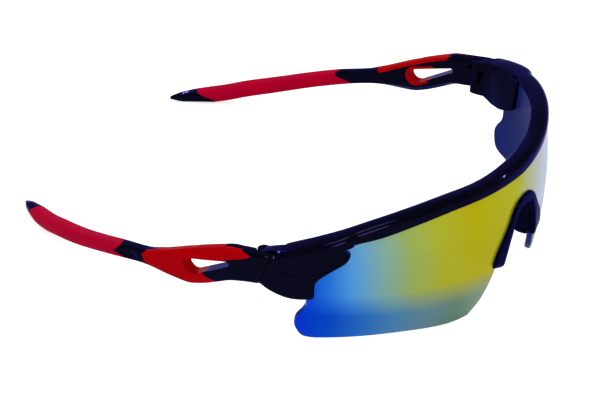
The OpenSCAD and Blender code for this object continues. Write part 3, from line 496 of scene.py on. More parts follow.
    def arm_tables(self):
        """Height, thickness, roundness and skew of the arms along their length."""
        z, t, f = self, self.tail, self.fore
        z.low_shares = [
            (-z.lead_in, 1.02), (0, 1), (f(0.196), 0.908), (f(0.3), 0.813), (f(0.384), 0.733),
            (f(0.462), 0.671), (f(0.527), 0.633), (f(0.667), 0.621), (f(0.851), 0.617),
            (f(0.942), 0.593), (t(0.09), 0.504), (t(0.24), 0.392), (t(0.41), 0.258),
            (t(0.6), 0.125), (t(0.7), 0.05), (t(0.8), 0.005), (t(0.92), 0), (t(1), 0.035)]

        def fork(share):
            return mix(z.waist_h, z.fork_h, share)

        z.talls = [
            (-z.lead_in, z.arm_h + 0.2), (0, z.arm_h), (f(0.133), mix(z.arm_h, z.fork_h, 0.24)),
            (f(0.267), mix(z.arm_h, z.fork_h, 0.7)), (f(0.422), z.fork_h), (f(0.533), fork(0.92)),
            (f(0.667), fork(0.57)), (f(0.782), fork(0.25)), (f(0.904), z.waist_h),
            (t(0.09), mix(z.waist_h, z.tail_h, 0.6)), (t(0.26), mix(z.waist_h, z.tail_h, 0.7)),
            (t(0.43), z.tail_h), (t(0.76), z.tail_h * 1.03), (t(0.87), z.tail_h * 0.85),
            (t(0.94), z.tail_h * 0.58), (t(1), z.tail_h * 0.14)]
        z.wides = [(-z.lead_in, z.arm_w), (f(0.89), z.arm_w), (t(0.15), z.tail_w),
                   (t(0.8), z.tail_w), (t(0.94), z.tail_w * 0.66), (t(1), z.tail_w * 0.26)]
        z.rounds = [(-z.lead_in, 6), (f(0.444), 5), (f(0.844), 4), (f(1.11), 3), (t(0.5), 2.8),
                    (z.arm_len, 2.4)]
        z.skews = [(-z.lead_in, 0), (f(0.089), 0), (f(0.267), z.skew * 0.75), (f(0.444), z.skew),
                   (f(0.622), z.skew * 0.87), (f(0.8), z.skew * 0.31), (f(0.933), 0),
                   (2 * z.arm_len, 0)]
        z.tops = [(-z.lead_in, z.over), (f(0.233), z.over), (f(0.267), -z.inlay_top_t),
                  (f(0.8), -z.inlay_top_t), (f(0.844), z.over), (f(1.1), z.over)]

    def arm_low(self, l):
        """Height of an arm's lower edge."""
        return (self.joint_top - self.arm_h) * max(0.0, level(self.low_shares, l))

    def arm_tall(self, l):
        """Height of an arm from edge to edge."""
        return level(self.talls, l)

    def arm_top(self, l):
        """Height of an arm's top edge."""
        return self.arm_low(l) + self.arm_tall(l)

    def arm_mid(self, l):
        """Height of the middle of an arm."""
        return self.arm_low(l) + self.arm_tall(l) / 2

    def arm_y(self, l):
        """Place of a station of the arm from front to back."""
        return self.arm_xy(l, 0)[1] - self.mid_y

    def arm_pt(self, l, a, inset):
        """Point at the angle a of an arm's section, under the surface by the inset."""
        z = self
        c, s, p = math.cos(rad(a)), math.sin(rad(a)), level(z.rounds, l)
        r = (abs(c) ** p + abs(s) ** p) ** (-1 / p)
        q = z.arm_xy(l, (level(z.wides, l) / 2 - inset) * r * c)
        lift = 2 * c * s * level(z.skews, l) if c < 0 and s < 0 else 0
        return np.array([q[0], q[1] - z.mid_y,
                         z.arm_mid(l) + (z.arm_tall(l) / 2 - inset) * r * s + lift])

    def arm_ring(self, l):
        """Section of an arm."""
        return [self.arm_pt(l, a, 0) for a in ARM_ANGLES]

    def grip_edges(self, a):
        """Places of the grip's front and rear edge at an angle round the arm."""
        t = (0, 45, 90, 135, 180, 225, 270, 315, 360)
        front = (0.29, -0.06, 0.02, 0.15, -0.35, -0.84, -1, -0.56, 0.29)
        back = (0.29, 0.06, -0.06, -0.15, -0.65, -1.13, -0.4, 0.48, 0.29)
        return (self.grip_front + self.grip_slant * level(list(zip(t, front)), a),
                self.grip_back + self.grip_slant * level(list(zip(t, back)), a))

    def grip_ring(self, f, inset, gap):
        """Section at the share f of the way between the grip's edges."""
        ring = []
        for a in ARM_ANGLES:
            start, end = self.grip_edges(a)
            ring.append(self.arm_pt(mix(start + gap, end - gap, f), a, inset))
        return ring

    def slot_outline(self, grow, front):
        """Outline of the slot, grown, with its front end moved back by a share."""
        z = self
        c1, c2 = (np.array([z.arm_y(l), z.arm_mid(l) + z.slot_up])
                  for l in (z.slot_front, z.slot_back))
        c1 = mix(c1, c2, front)
        r1, r2 = mix(z.slot_front_r, z.slot_back_r, front) + grow, z.slot_back_r + grow
        d = c2 - c1
        a = math.atan2(d[1], d[0])
        b = math.acos((r1 - r2) / np.linalg.norm(d))
        return [c + r * np.array([math.cos(a + t), math.sin(a + t)])
                for c, r, turns in ((c2, r2, span(-b, b, 32)),
                                    (c1, r1, span(b, 2 * math.pi - b, 16))) for t in turns]

    def inlay_outline(self):
        """Outline of the inlay from the side.

        It runs back over the arm's top edge, forward along its lower edge, up past the rear of
        the slot and forward again under the top edge.
        """
        z = self
        f, back, over, line, tall = z.fore, z.inlay_back, z.over, z.inlay_line, z.fork_h
        a, b = (z.arm_mid(l) + z.slot_up for l in (z.slot_front, z.slot_back))
        above = [(f(0.051), -1), (f(0.2), over / 2), (f(0.44), over), (f(0.67), over),
                 (back - 2, over / 4), (back, -1)]
        below = [(back - 1, 2 * line), (back - 3, line), (f(0.733), line), (f(0.61), line),
                 (f(0.54), line), (f(0.52), -over / 3), (f(0.4), -over / 2),
                 (f(0.293), -over / 2), (f(0.3), 0.1), (f(0.322), 1), (f(0.376), tall * 0.2),
                 (f(0.413), tall * 0.325)]
        slot = [(f(0.389), b + 0.6), (f(0.362), mix(a, b, 0.42)), (f(0.271), a + 0.3)]
        front = [(f(0.196), -tall * 0.283), (f(0.124), -tall * 0.217), (f(0.073), -tall * 0.142)]
        pts = ([(l, z.arm_top(l) + h) for l, h in above]
               + [(l, z.arm_low(l) + h) for l, h in below] + slot
               + [(l, z.arm_top(l) + h) for l, h in front])
        return [(z.arm_y(l), h) for l, h in pts]

    def under_ring(self, l, gap):
        """Section of what lies under the inlay."""
        z = self
        w = level(z.wides, l) / 2
        out, up = w - z.inlay_t + gap, z.arm_top(l) + float(np.interp(l, *zip(*z.tops))) + gap
        ring = []
        low, deep = z.arm_low(l) - z.over, -w - z.over
        for o, h in ((out, low), (out, up), (deep, up), (deep, low)):
            p = z.arm_xy(l, o)
            ring.append(np.array([p[0], p[1] - z.mid_y, h]))
        return ring


# ---- modelling helpers ----
def deselect():
    """Leaves edit mode and selects nothing."""
    if bpy.context.object and bpy.context.object.mode != "OBJECT":
        bpy.ops.object.mode_set(mode="OBJECT")
    bpy.ops.object.select_all(action="DESELECT")


def pick(obj):
    """Selects one object and makes it the active one."""
    deselect()
    obj.select_set(True)
    bpy.context.view_layer.objects.active = obj


def loft(name, rings, closed=False):
    """Extrudes a filled circle from ring to ring, or an open one into a sleeve."""
    deselect()
    count = len(rings[0])
    bpy.ops.mesh.primitive_circle_add(vertices=count, radius=1,
                                      fill_type="NOTHING" if closed else "NGON")
    obj = bpy.context.object
    obj.name = obj.data.name = name
    bpy.ops.object.mode_set(mode="EDIT")
    bpy.ops.mesh.select_all(action="SELECT")
    bm = bmesh.from_edit_mesh(obj.data)
    bm.verts.ensure_lookup_table()
    now = list(range(count))
    for i, ring in enumerate(rings + rings[:1] if closed else rings):
        if i:
            bpy.ops.mesh.extrude_region_move()
            bm = bmesh.from_edit_mesh(obj.data)
            bm.verts.index_update()
            bm.verts.ensure_lookup_table()
            old = set(now)
            now = [next(e.other_vert(bm.verts[k]).index for e in bm.verts[k].link_edges
                        if e.other_vert(bm.verts[k]).select
                        and e.other_vert(bm.verts[k]).index not in old) for k in now]
        for k, p in zip(now, ring):
            bm.verts[k].co = Vector(p) * MM
        bmesh.update_edit_mesh(obj.data)
    bpy.ops.mesh.select_all(action="SELECT")
    if closed:
        bpy.ops.mesh.remove_doubles(threshold=1e-7)
    bpy.ops.mesh.normals_make_consistent(inside=False)
    bpy.ops.object.mode_set(mode="OBJECT")
    return obj


def prism(name, outline, x0, x1):
    """Closed prism along X through an outline of (y, z) points."""
    return loft(name, [[np.array([x, y, z]) for y, z in outline] for x in (x0, x1)])


def box(name, low, high, turn=0.0, pivot=None):
    """Box between two corners, turned about X through the pivot."""
    deselect()
    low, high = Vector(low) * MM, Vector(high) * MM
    bpy.ops.mesh.primitive_cube_add(size=1, location=(0, 0, 0))
    obj = bpy.context.object
    obj.name = obj.data.name = name
    move = Matrix.Translation((low + high) / 2) @ Matrix.Diagonal((*(high - low), 1))
    if turn:
        p = Matrix.Translation(Vector(pivot) * MM)
        move = p @ Matrix.Rotation(turn, 4, "X") @ p.inverted() @ move
    obj.data.transform(move)
    return obj


def rod(name, x, y, z0, z1, r, count=64):
    """Upright cylinder between two heights."""
    deselect()
    bpy.ops.mesh.primitive_cylinder_add(vertices=count, radius=r * MM, depth=(z1 - z0) * MM,
                                        location=(0, 0, 0))
    obj = bpy.context.object
    obj.name = obj.data.name = name
    obj.data.transform(Matrix.Translation((x * MM, y * MM, (z0 + z1) / 2 * MM)))
    return obj


def combine(obj, tool, operation):
    """Applies a boolean with the tool, which is used up."""
    m = obj.modifiers.new("form", "BOOLEAN")
    m.operation, m.solver, m.object = operation, "MANIFOLD", tool
    pick(obj)
    bpy.ops.object.modifier_apply(modifier=m.name)
    bpy.data.objects.remove(tool)
    return obj


def cut(obj, tool):
    """Takes the tool away from the piece."""
    return combine(obj, tool, "DIFFERENCE")


def join(obj, tool):
    """Adds the tool to the piece."""
    return combine(obj, tool, "UNION")


def mirrored(obj, name):
    """A copy of the piece on the other side, with its own mesh."""
    twin = obj.copy()
    twin.data = obj.data.copy()
    twin.name = twin.data.name = name
    bpy.context.collection.objects.link(twin)
    twin.data.transform(Matrix.Diagonal((-1, 1, 1, 1)))
    twin.data.flip_normals()
    return twin


def soften(obj, angle):
    """Shades smoothly over edges that are flatter than the angle."""
    pick(obj)
    bpy.ops.object.shade_smooth_by_angle(angle=rad(angle))


def done(obj, node, body, material):
    """Puts the piece in the place of its CAD node."""
    if material:
        obj.data.materials.clear()
        obj.data.materials.append(material)
    obj.name = obj.data.name = node + "_piece"
    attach(obj, body)
    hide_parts(node)


def both_sides(obj, node, angle, material, body="temple_{}"):
    """Shades the left piece and its mirror image and puts each in its node's place."""
    for piece, side in ((obj, "left"), (mirrored(obj, obj.name + "_right"), "right")):
        soften(piece, angle)
        done(piece, node + "_" + side, body.format(side), material)


def shape():
    """The curves for the sizes as they are set now."""
    return Shape(bpy.context.scene.sunglass_sizes)


def stations(*parts):
    """Stations on both sides, each part from its first to its last in a count of steps."""
    half = []
    for a, b, n in parts:
        half += [u for u in span(a, b, n) if not half or u > half[-1] + 1e-6]
    return [-u for u in reversed(half) if u > 0] + half


def lens_stations(*counts):
    """Stations along the lens, with a count for each stretch between its breaks."""
    return stations(*zip(LENS_BREAKS, LENS_BREAKS[1:], counts))


def lens_tool(z):
    """The lens grown by its clearance, which cuts the groove that grips it."""
    return loft("lens_tool", [z.lens_ring(u, z.groove_gap, 6)
                              for u in lens_stations(10, 20, 18, 18, 14)])


# ---- finishes ----
BLACK_EDGE = (0.42, 0.41, 0.8, 1)  # tint of the black parts at a flat angle
CLOUD_SCALE, GLOSS_SCALE = 90, 420  # fineness of the uneven colour and gloss of moulded parts


def new_material(name, rgb, **sockets):
    """A material with its node tree and shader, the shader's sockets set by their names."""
    mat = bpy.data.materials.new(name)
    mat.use_nodes = True
    mat.diffuse_color = (*rgb, 1)
    shader = mat.node_tree.nodes["Principled BSDF"]
    shader.inputs["Base Color"].default_value = (*rgb, 1)
    for key, value in sockets.items():
        shader.inputs[key.replace("_", " ")].default_value = value
    return mat, mat.node_tree, shader


def add_node(tree, kind, output, inputs, **settings):
    """Adds a node, feeds its inputs with values or with outputs, and gives its output."""
    new = tree.nodes.new("ShaderNode" + kind)
    for key, value in settings.items():
        setattr(new, key, value)
    for key, value in inputs.items():
        if isinstance(value, bpy.types.NodeSocket):
            tree.links.new(value, new.inputs[key])
        else:
            new.inputs[key].default_value = value
    return new.outputs[output]


def math_node(tree, operation, *terms):
    """Result of a sum or another operation."""
    return add_node(tree, "Math", 0, dict(enumerate(terms)), operation=operation)


def coordinates(tree):
    """Place of a point on the piece, in metres."""
    return add_node(tree, "TexCoord", "Object", {})


def noise(tree, scale, detail=3.0):
    """Cloudy pattern from 0 to 1."""
    return add_node(tree, "TexNoise", "Fac", {"Vector": coordinates(tree), "Scale": scale,
                                              "Detail": detail})


def ranged(tree, value, low, high, start=0.3, end=0.7):
    """The value's run from start to end spread from low to high."""
    return add_node(tree, "MapRange", "Result", {
        "Value": value, "From Min": start, "From Max": end, "To Min": low, "To Max": high})


def blended(tree, factor, a, b):
    """Colour between two others."""
    return add_node(tree, "Mix", "Result", {"Factor": factor, "A": a, "B": b},
                    data_type="RGBA")


def uneven(tree, shader, low, high, scale, detail=3.0):
    """Roughness that wanders between two values."""
    tree.links.new(ranged(tree, noise(tree, scale, detail), low, high),
                   shader.inputs["Roughness"])


def moulded(name, rgb, deep, rough, grain, wave, **sockets):
    """Moulded part's material, made once: cloudy colour, uneven gloss, a wavy or grained skin.

    grain is the fineness of the skin, and wave its height in millimetres.
    """
    if name in bpy.data.materials:
        return bpy.data.materials[name]
    mat, tree, shader = new_material(name, rgb, **sockets)
    cloud = ranged(tree, noise(tree, CLOUD_SCALE), 0, 1)
    tree.links.new(blended(tree, cloud, (*rgb, 1), (*deep, 1)), shader.inputs["Base Color"])
    uneven(tree, shader, *rough, GLOSS_SCALE, 4)
    bump = add_node(tree, "Bump", "Normal", {
        "Height": noise(tree, grain, 2), "Strength": 1, "Distance": wave * MM})
    tree.links.new(bump, shader.inputs["Normal"])
    return mat


def colour(name):
    """A colour as it is set now."""
    return tuple(getattr(bpy.context.scene.sunglass_colours, name))


def scaled(rgb, *shares):
    """The colour with each channel times its share."""
    return tuple(value * share for value, share in zip(rgb, shares))


def gloss_black():
    """Polished frame plastic, dark navy at its edges"""
    c = colour("black")
    return moulded("gloss_black", c, scaled(c, 0.5, 0.5, 0.5), (0.07, 0.12), 160, 0.009,
                   Metallic=1.0, Specular_Tint=BLACK_EDGE, Coat_Weight=0.075, Coat_Roughness=0.03)


def nose_black():
    """Satin plastic of the nose piece"""
    c = colour("black")
    return moulded("satin_black", c, scaled(c, 0.6, 0.6, 0.6), (0.2, 0.3), 900, 0.006,
                   Metallic=1.0, Specular_Tint=BLACK_EDGE, Coat_Weight=0.05, Coat_Roughness=0.08)


def pad_black():
    """Soft rubber of the nose pads"""
    c = colour("black")
    return moulded("rubber_black", scaled(c, 2, 2, 1), c, (0.5, 0.65), 2600, 0.02, IOR=1.06)


def inlay_red():
    """Polished red plastic of the inlays"""
    c = colour("red")
    return moulded("gloss_red", c, scaled(c, 0.82, 1, 0.8), (0.18, 0.28), 500, 0.006, IOR=1.05,
                   Specular_Tint=(1, 0.4, 0.5, 1), Sheen_Weight=0.08, Sheen_Roughness=0.3,
                   Sheen_Tint=(1, 0.02, 0.3, 1))


def grip_red():
    """Matt red rubber of the ear grips"""
    c = colour("crimson")
    return moulded("rubber_red", c, scaled(c, 0.86, 1, 1.3), (0.42, 0.56), 2400, 0.016, IOR=1.05,
                   Sheen_Weight=0.25, Sheen_Roughness=0.4, Sheen_Tint=(0.9, 0.02, 0.3, 1))


def screw_steel():
    """Bright turned steel"""
    c = colour("steel")
    return moulded("bright_steel", c, scaled(c, 0.8, 0.8, 0.8), (0.2, 0.4), 3000, 0.004,
                   Metallic=1.0)


# Colour of the mirror coating against the distance from the middle in millimetres, over the
# greater part of the lens, and along its foot the coating with a painted reflection of the ground,
# darker and greyer
COATING_TOP = (
    (0, (0.48, 0.50, 0.005)), (24, (0.50, 0.45, 0.0)), (37, (0.45, 0.48, 0.03)),
    (45, (0.34, 0.46, 0.12)), (52, (0.22, 0.44, 0.42)), (58, (0.09, 0.36, 0.78)),
    (62, (0.02, 0.20, 0.80)), (66, (0.0, 0.07, 0.72)), (71, (0.06, 0.0, 0.62)))
FOOT_COATING_WITH_PAINTED_REFLECTION = (
    (0, (0.28, 0.38, 0.30)), (18, (0.22, 0.33, 0.24)), (28, (0.14, 0.26, 0.20)),
    (38, (0.13, 0.26, 0.33)), (46, (0.07, 0.24, 0.46)), (53, (0.02, 0.16, 0.56)),
    (58.5, (0.0, 0.08, 0.62)), (63, (0.0, 0.04, 0.64)), (68, (0.02, 0.01, 0.62)),
    (71, (0.16, 0.0, 0.66)))
COATING_REACH = 72
# Under this height in metres the bands of colour lean inward, by this share of the depth
COATING_LEVEL, COATING_LEAN = 0.036, 0.12
COATING_WAVE = 0.006  # how far the bands wander, in metres
# Top of the painted ground reflection along the foot in the middle and the blur of its edge, in
# metres, and its rise to the sides
PAINTED_REFLECTION_TOP, PAINTED_REFLECTION_BLUR, PAINTED_REFLECTION_RISE = 0.0083, (-0.003, 0.005), 0.15
PAINTED_SHEEN_ANGLES = (0.57, 0.86)  # flatness of the view at which the painted sheen starts and is full
LENS_ALPHA = 0.98


def coating_ramp(tree, place, table):
    """The coating's colour at a distance from the middle in metres."""
    ramp = tree.nodes.new("ShaderNodeValToRGB")
    stops = ramp.color_ramp.elements
    while len(stops) < len(table):
        stops.new(0.5)
    for stop, (at, rgb) in zip(stops, table):
        stop.position = at / COATING_REACH
        stop.color = (*rgb, 1)
    tree.links.new(math_node(tree, "DIVIDE", place, COATING_REACH * MM), ramp.inputs["Fac"])
    return ramp.outputs["Color"]


def lens_mirror():
    """Mirror coating that runs from violet at the outer ends over blue and green to yellow, with a
    painted reflection of the ground along its foot and a painted pale sheen at flat angles.
    """
    mat, tree, shader = new_material("mirror_coating", COATING_TOP[1][1], Metallic=0.55, IOR=1.1,
                                     Alpha=LENS_ALPHA)

    def calc(operation, *terms):
        return math_node(tree, operation, *terms)

    split = tree.nodes.new("ShaderNodeSeparateXYZ")
    tree.links.new(coordinates(tree), split.inputs[0])
    height, across = split.outputs["Z"], calc("ABSOLUTE", split.outputs["X"])
    cloud = calc("MULTIPLY", calc("SUBTRACT", noise(tree, 22, 2), 0.5), COATING_WAVE)
    place = calc("ADD", across, cloud)
    lean = calc("MULTIPLY", calc("SUBTRACT", COATING_LEVEL, height), COATING_LEAN)
    # Painted reflection: under an edge that rises to the sides, the foot's darker, greyer ramp
    # takes over, standing in for the ground seen in the mirror
    edge = calc("ADD", calc("MULTIPLY", across, PAINTED_REFLECTION_RISE), PAINTED_REFLECTION_TOP)
    below = calc("SUBTRACT", edge, calc("ADD", height, cloud))
    coating_and_reflection = blended(tree, ranged(tree, below, 0, 1, *PAINTED_REFLECTION_BLUR),
                   coating_ramp(tree, calc("ADD", place, lean), COATING_TOP),
                   coating_ramp(tree, place, FOOT_COATING_WITH_PAINTED_REFLECTION))
    # Painted sheen: toward flat angles the colour turns pale, partly the coating's shift with
    # angle, partly a stand-in for the mirror's grazing reflection
    facing = add_node(tree, "LayerWeight", "Facing", {"Blend": 0.5})
    tree.links.new(blended(tree, ranged(tree, facing, 0, 1, *PAINTED_SHEEN_ANGLES), coating_and_reflection,
                           (*colour("haze"), 1)), shader.inputs["Base Color"])
    uneven(tree, shader, 0.14, 0.2, 300)
    return mat


def lens_inside():
    """Dark tint of the lens, seen from behind and at its edges."""
    c = colour("inside")
    mat, tree, shader = new_material("tinted_lens", c, IOR=1.09, Specular_Tint=(0.5, 0.5, 1, 1),
                                     Alpha=LENS_ALPHA)
    cloud = ranged(tree, noise(tree, 30, 2), 0, 1)
    tree.links.new(blended(tree, cloud, (*c, 1), (*scaled(c, 1.4, 1.4, 1.4), 1)),
                   shader.inputs["Base Color"])
    uneven(tree, shader, 0.16, 0.24, 300)
    return mat


# ---- pieces ----
class SUNGLASSES_OT_shield_lens(bpy.types.Operator):
    """Lofts the one-piece lens through its sections and coats its front"""
    bl_idname = "sunglasses.shield_lens"
    bl_label = "Shield lens"

    def execute(self, context):
        z, steps = shape(), 20
        front = steps + 3  # points on the front of a section, and as many on its back
        obj = loft("shield_lens_form", [z.lens_ring(u, 0, steps)
                                        for u in lens_stations(14, 40, 34, 36, 30)])
        obj.data.materials.append(lens_mirror())
        obj.data.materials.append(lens_inside())
        for face in obj.data.polygons:
            columns = {i % (2 * front) for i in face.vertices}
            face.material_index = 0 if max(columns) < front and len(columns) < 5 else 1
        soften(obj, 40)
        done(obj, "shield_lens", "front", None)
        return {"FINISHED"}


def joint_tool(z, side, gap, way):
    """Everything on one side of the slanted joint, the gap behind its plane."""
    y, h, w = z.joint_y - z.mid_y + gap, z.joint_top - z.arm_h, z.arm_h
    a, b = sorted((side * (z.hinge_x - 2 * z.arm_w), side * (z.hinge_x + 3 * z.arm_w)))
    ys = sorted((y, y + way * 3 * w))
    return box("joint_tool", (a, ys[0], h - 2 * w), (b, ys[1], h + 3 * w),
               rad(z.joint_lean), (0, y, h))


def ear_form(z, side, z0, h, web):
    """Hinge ear round the axis with the web that runs forward from it."""
    x, y, r = side * z.hinge_x, z.hinge_y, z.knuckle_r
    ear = rod("ear", x, y, z0, z0 + h, r)
    return join(ear, box("web", (x - r, y - web, z0), (x + r, y, z0 + h)))


class SUNGLASSES_OT_brow_frame(bpy.types.Operator):
    """Lofts the brow bar with its jaws, cuts the groove and the joints and adds the hinge ears"""
    bl_idname = "sunglasses.brow_frame"
    bl_label = "Brow frame"

    def execute(self, context):
        z = shape()
        us = stations((0, 4, 36), (4, 7, 30), (7, 12.6, 56), (12.6, 15, 20))
        obj = loft("brow_form", [z.brow_ring(u) for u in us])
        hx, hy, low = z.hinge_x, z.hinge_y, z.ear_low_z
        for side in (1, -1):
            cut(obj, joint_tool(z, side, 0, 1))
            edge = z.bar_low(z.lobe_at)
            # The step from the bar's lower edge to the front of the jaw
            notch = [(z.jaw(-0.23), edge - 0.1), (z.jaw(0.144), edge - 0.1),
                     (z.jaw(0.144), edge - 0.5), (z.jaw(0.04), z.jaw_h(0.1)),
                     (z.jaw(-0.23), z.jaw_h(0.144))]
            cut(obj, loft("notch_tool", [[z.place(side * s, n, h) for s, h in notch]
                                         for n in (-z.lens_t / 2, z.jaw_front + 3)]))
            cut(obj, rod("knuckle_tool", side * hx, hy, low, z.ear_up_z,
                         z.knuckle_r + z.hinge_gap))
            for z0, h, web in ((low - z.ear_low_h, z.ear_low_h, z.low_web),
                               (z.ear_up_z, z.ear_up_h, z.up_web)):
                join(obj, ear_form(z, side, z0, h, web))
            # The bar's own surface runs on over the root of the upper ear
            cover = loft("cover", [z.brow_ring(u) for u in us])
            root = ear_form(z, side, z.ear_up_z + 0.5, 9, z.up_web + 0.5)
            join(obj, combine(cover, root, "INTERSECT"))
        cut(obj, lens_tool(z))
        for side in (1, -1):
            foot = low - z.ear_low_h
            cut(obj, rod("bore", side * hx, hy, foot - 1, z.bore_top, z.screw_r + z.screw_gap,
                         BORE_SIDES))
            cut(obj, rod("seat", side * hx, hy, foot - 1, foot + z.head_h + 0.1,
                         z.head_r + z.screw_gap, BORE_SIDES))
        soften(obj, 30)
        done(obj, "brow_frame", "front", gloss_black())
        return {"FINISHED"}


class SUNGLASSES_OT_nose_piece(bpy.types.Operator):
    """Lofts the nose piece round the cut-out and its two rubber pads"""
    bl_idname = "sunglasses.nose_piece"
    bl_label = "Nose piece"

    def execute(self, context):
        z = shape()
        # The legs end in a round, 0.45 stations long
        ends = [(z.leg_end - 0.45 * (1 - t), max(0.2, math.sqrt(1 - t * t)))
                for t in (0.12, 0.26, 0.4, 0.53, 0.65, 0.76, 0.86, 0.93, 0.98, 1)]
        us = stations((0, z.pad_from - 0.5, 22), (z.pad_from - 0.4, 4.9, 38))
        rings = ([shrunk(z.bridge_ring(-u), k) for u, k in reversed(ends)]
                 + [z.bridge_ring(u) for u in us]
                 + [shrunk(z.bridge_ring(u), k) for u, k in ends])
        obj = cut(loft("bridge_form", rings), lens_tool(z))
        soften(obj, 35)
        done(obj, "nose_bridge", "front", nose_black())
        shares = ([(z.pad_from, 0.8), (z.pad_from + 0.04, 0.9), (z.pad_from + 0.1, 0.95)]
                  + [(u, 1) for u in span(z.pad_from + 0.3, z.pad_to - 0.3, 30)]
                  + [(z.pad_to - 0.12, 0.94), (z.pad_to - 0.05, 0.88), (z.pad_to, 0.75)])
        both_sides(loft("pad_form", [z.pad_ring(u, k) for u, k in shares]), "nose_pad", 40,
                   pad_black(), "front")
        return {"FINISHED"}


def fore_arm(z):
    """Sections of an arm from in front of the joint to its waist."""
    return [z.arm_ring(l) for l in span(-z.lead_in, z.fore(0.97), 81)]


def side_prism(z, name, outline):
    """Prism through the whole thickness of the left arm."""
    return prism(name, outline, z.arm_x - 2.5 * z.arm_w, z.arm_x + 2.5 * z.arm_w)


def slot_tool(z, grow, front):
    """The slot's own form, grown, from a share of its length on."""
    return side_prism(z, "slot_tool", z.slot_outline(grow, front))


def under_tool(z, gap):
    """Form of the arm that is left under the inlay."""
    return loft("under_tool", [z.under_ring(l, gap) for l in span(0, z.fore(0.98), 66)])


def hollow_tool(z, l, side, r, d):
    """Ball that leaves a round hollow in the outer or inner face of the left arm."""
    ball, a = (r * r + d * d) / (2 * d), z.arm_turn(l)
    spot = z.arm_pt(l, 0 if side > 0 else 180, 0) + side * (ball - d) * np.array(
        [math.cos(a), math.sin(a), 0])
    deselect()
    bpy.ops.mesh.primitive_uv_sphere_add(segments=96, ring_count=48, radius=ball * MM)
    tool = bpy.context.object
    tool.data.transform(Matrix.Translation(Vector(spot) * MM))
    return tool


class SUNGLASSES_OT_arms(bpy.types.Operator):
    """Lofts an arm with its grip recess, cuts joint, slot, inlay seat and dimple, mirrors it"""
    bl_idname = "sunglasses.arms"
    bl_label = "Arms"

    def execute(self, context):
        z = shape()
        rings = fore_arm(z) + [z.grip_ring(0, 0, 0)]
        rings += [z.grip_ring(f, z.grip_t, 0) for f in span(0, 1, 36)]
        rings.append(z.grip_ring(1, 0, 0))
        rings += [z.arm_ring(l)
                  for l in span(z.grip_back + z.grip_slant * 0.7, z.arm_len - 0.6, 10)]
        rings += [z.arm_ring(l) for l in (z.arm_len - 0.3, z.arm_len - 0.1, z.arm_len)]
        obj = cut(loft("arm_form", rings), joint_tool(z, 1, z.hinge_gap, -1))
        hx, hy, reach = z.hinge_x, z.hinge_y, z.knuckle_r + z.hinge_gap
        # Room for the ears, out to the arm's outer wall
        cut(obj, box("hinge_tool", (hx - 10, hy - 20, 0), (hx + reach, hy + reach, 60)))
        low, top = z.knuckle_z - z.knuckle_h / 2, z.knuckle_z + z.knuckle_h / 2
        knuckle = rod("knuckle", hx, hy, low, top, z.knuckle_r)
        join(knuckle, box("tongue", (hx - z.tongue_in, hy, low),
                          (hx + z.tongue_out, hy + z.tongue_back, top)))
        join(knuckle, box("root", (hx, hy - z.root_front, low),
                          (hx + z.tongue_out, hy + z.root_back, top)))
        join(obj, knuckle)
        # The inlay's seat leaves the arm's core, less the clearance
        seat = side_prism(z, "seat_tool", z.inlay_outline())
        core = cut(under_tool(z, -z.inlay_gap),
                   slot_tool(z, z.inlay_rim + z.inlay_gap, z.rim_from))
        cut(obj, cut(seat, core))
        cut(obj, slot_tool(z, 0, 0))
        cut(obj, hollow_tool(z, z.arm_len - z.dimple_at, -1, z.dimple_r, z.dimple_d))
        cut(obj, hollow_tool(z, mix(z.inlay_back, z.grip_front, z.scoop_at), 1, z.scoop_r,
                             z.scoop_d))
        cut(obj, rod("bore", hx, hy, z.knuckle_z - z.knuckle_h, z.knuckle_z + z.knuckle_h,
                     z.screw_r + z.screw_gap, BORE_SIDES))
        both_sides(obj, "temple_arm", 30, gloss_black())
        return {"FINISHED"}


class SUNGLASSES_OT_inlays(bpy.types.Operator):
    """Cuts the inlay out of the arm's own shape, with its rim round the slot, and mirrors it"""
    bl_idname = "sunglasses.inlays"
    bl_label = "Inlays"

    def execute(self, context):
        z = shape()
        obj = loft("inlay_form", fore_arm(z))
        combine(obj, side_prism(z, "outline_tool", z.inlay_outline()), "INTERSECT")
        cut(obj, cut(under_tool(z, 0), slot_tool(z, z.inlay_rim, z.rim_from)))
        cut(obj, slot_tool(z, 0, 0))
        both_sides(obj, "temple_inlay", 30, inlay_red())
        return {"FINISHED"}


class SUNGLASSES_OT_ear_grips(bpy.types.Operator):
    """Turns the grip's section into a sleeve with rounded ends round each arm"""
    bl_idname = "sunglasses.ear_grips"
    bl_label = "Ear grips"

    def execute(self, context):
        z = shape()
        # Share of the grip's length and depth under its surface, round its edge
        edge = ((0, 0.3), (0.003, 0.12), (0.007, 0.03), (0.013, 0))
        course = list(edge) + [(f, 0) for f in span(0.03, 0.97, 48)]
        course += [(1 - f, inset) for f, inset in reversed(edge)]
        course += [(f, z.grip_t - z.grip_gap) for f in span(1, 0, 24)]
        obj = loft("grip_form", [z.grip_ring(f, inset, z.grip_gap) for f, inset in course],
                   closed=True)
        both_sides(obj, "ear_grip", 50, grip_red())
        return {"FINISHED"}


class SUNGLASSES_OT_hinge_screws(bpy.types.Operator):
    """Gives the two hinge screws of the model their steel"""
    bl_idname = "sunglasses.hinge_screws"
    bl_label = "Hinge screws"

    def execute(self, context):
        for side in ("left", "right"):
            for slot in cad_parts["hinge_screw_" + side].material_slots:
                slot.material = screw_steel()
        return {"FINISHED"}


# Camera of the photograph: place in millimetres, its right and up directions
CAMERA = (-483.32, -278.76, 346.12)
CAMERA_RIGHT = (0.51002524, -0.85991898, 0.02033731)
CAMERA_UP = (0.43929697, 0.28073273, 0.85335064)
SENSOR_WIDTH, FOCAL_LENGTH = 36, 125.58
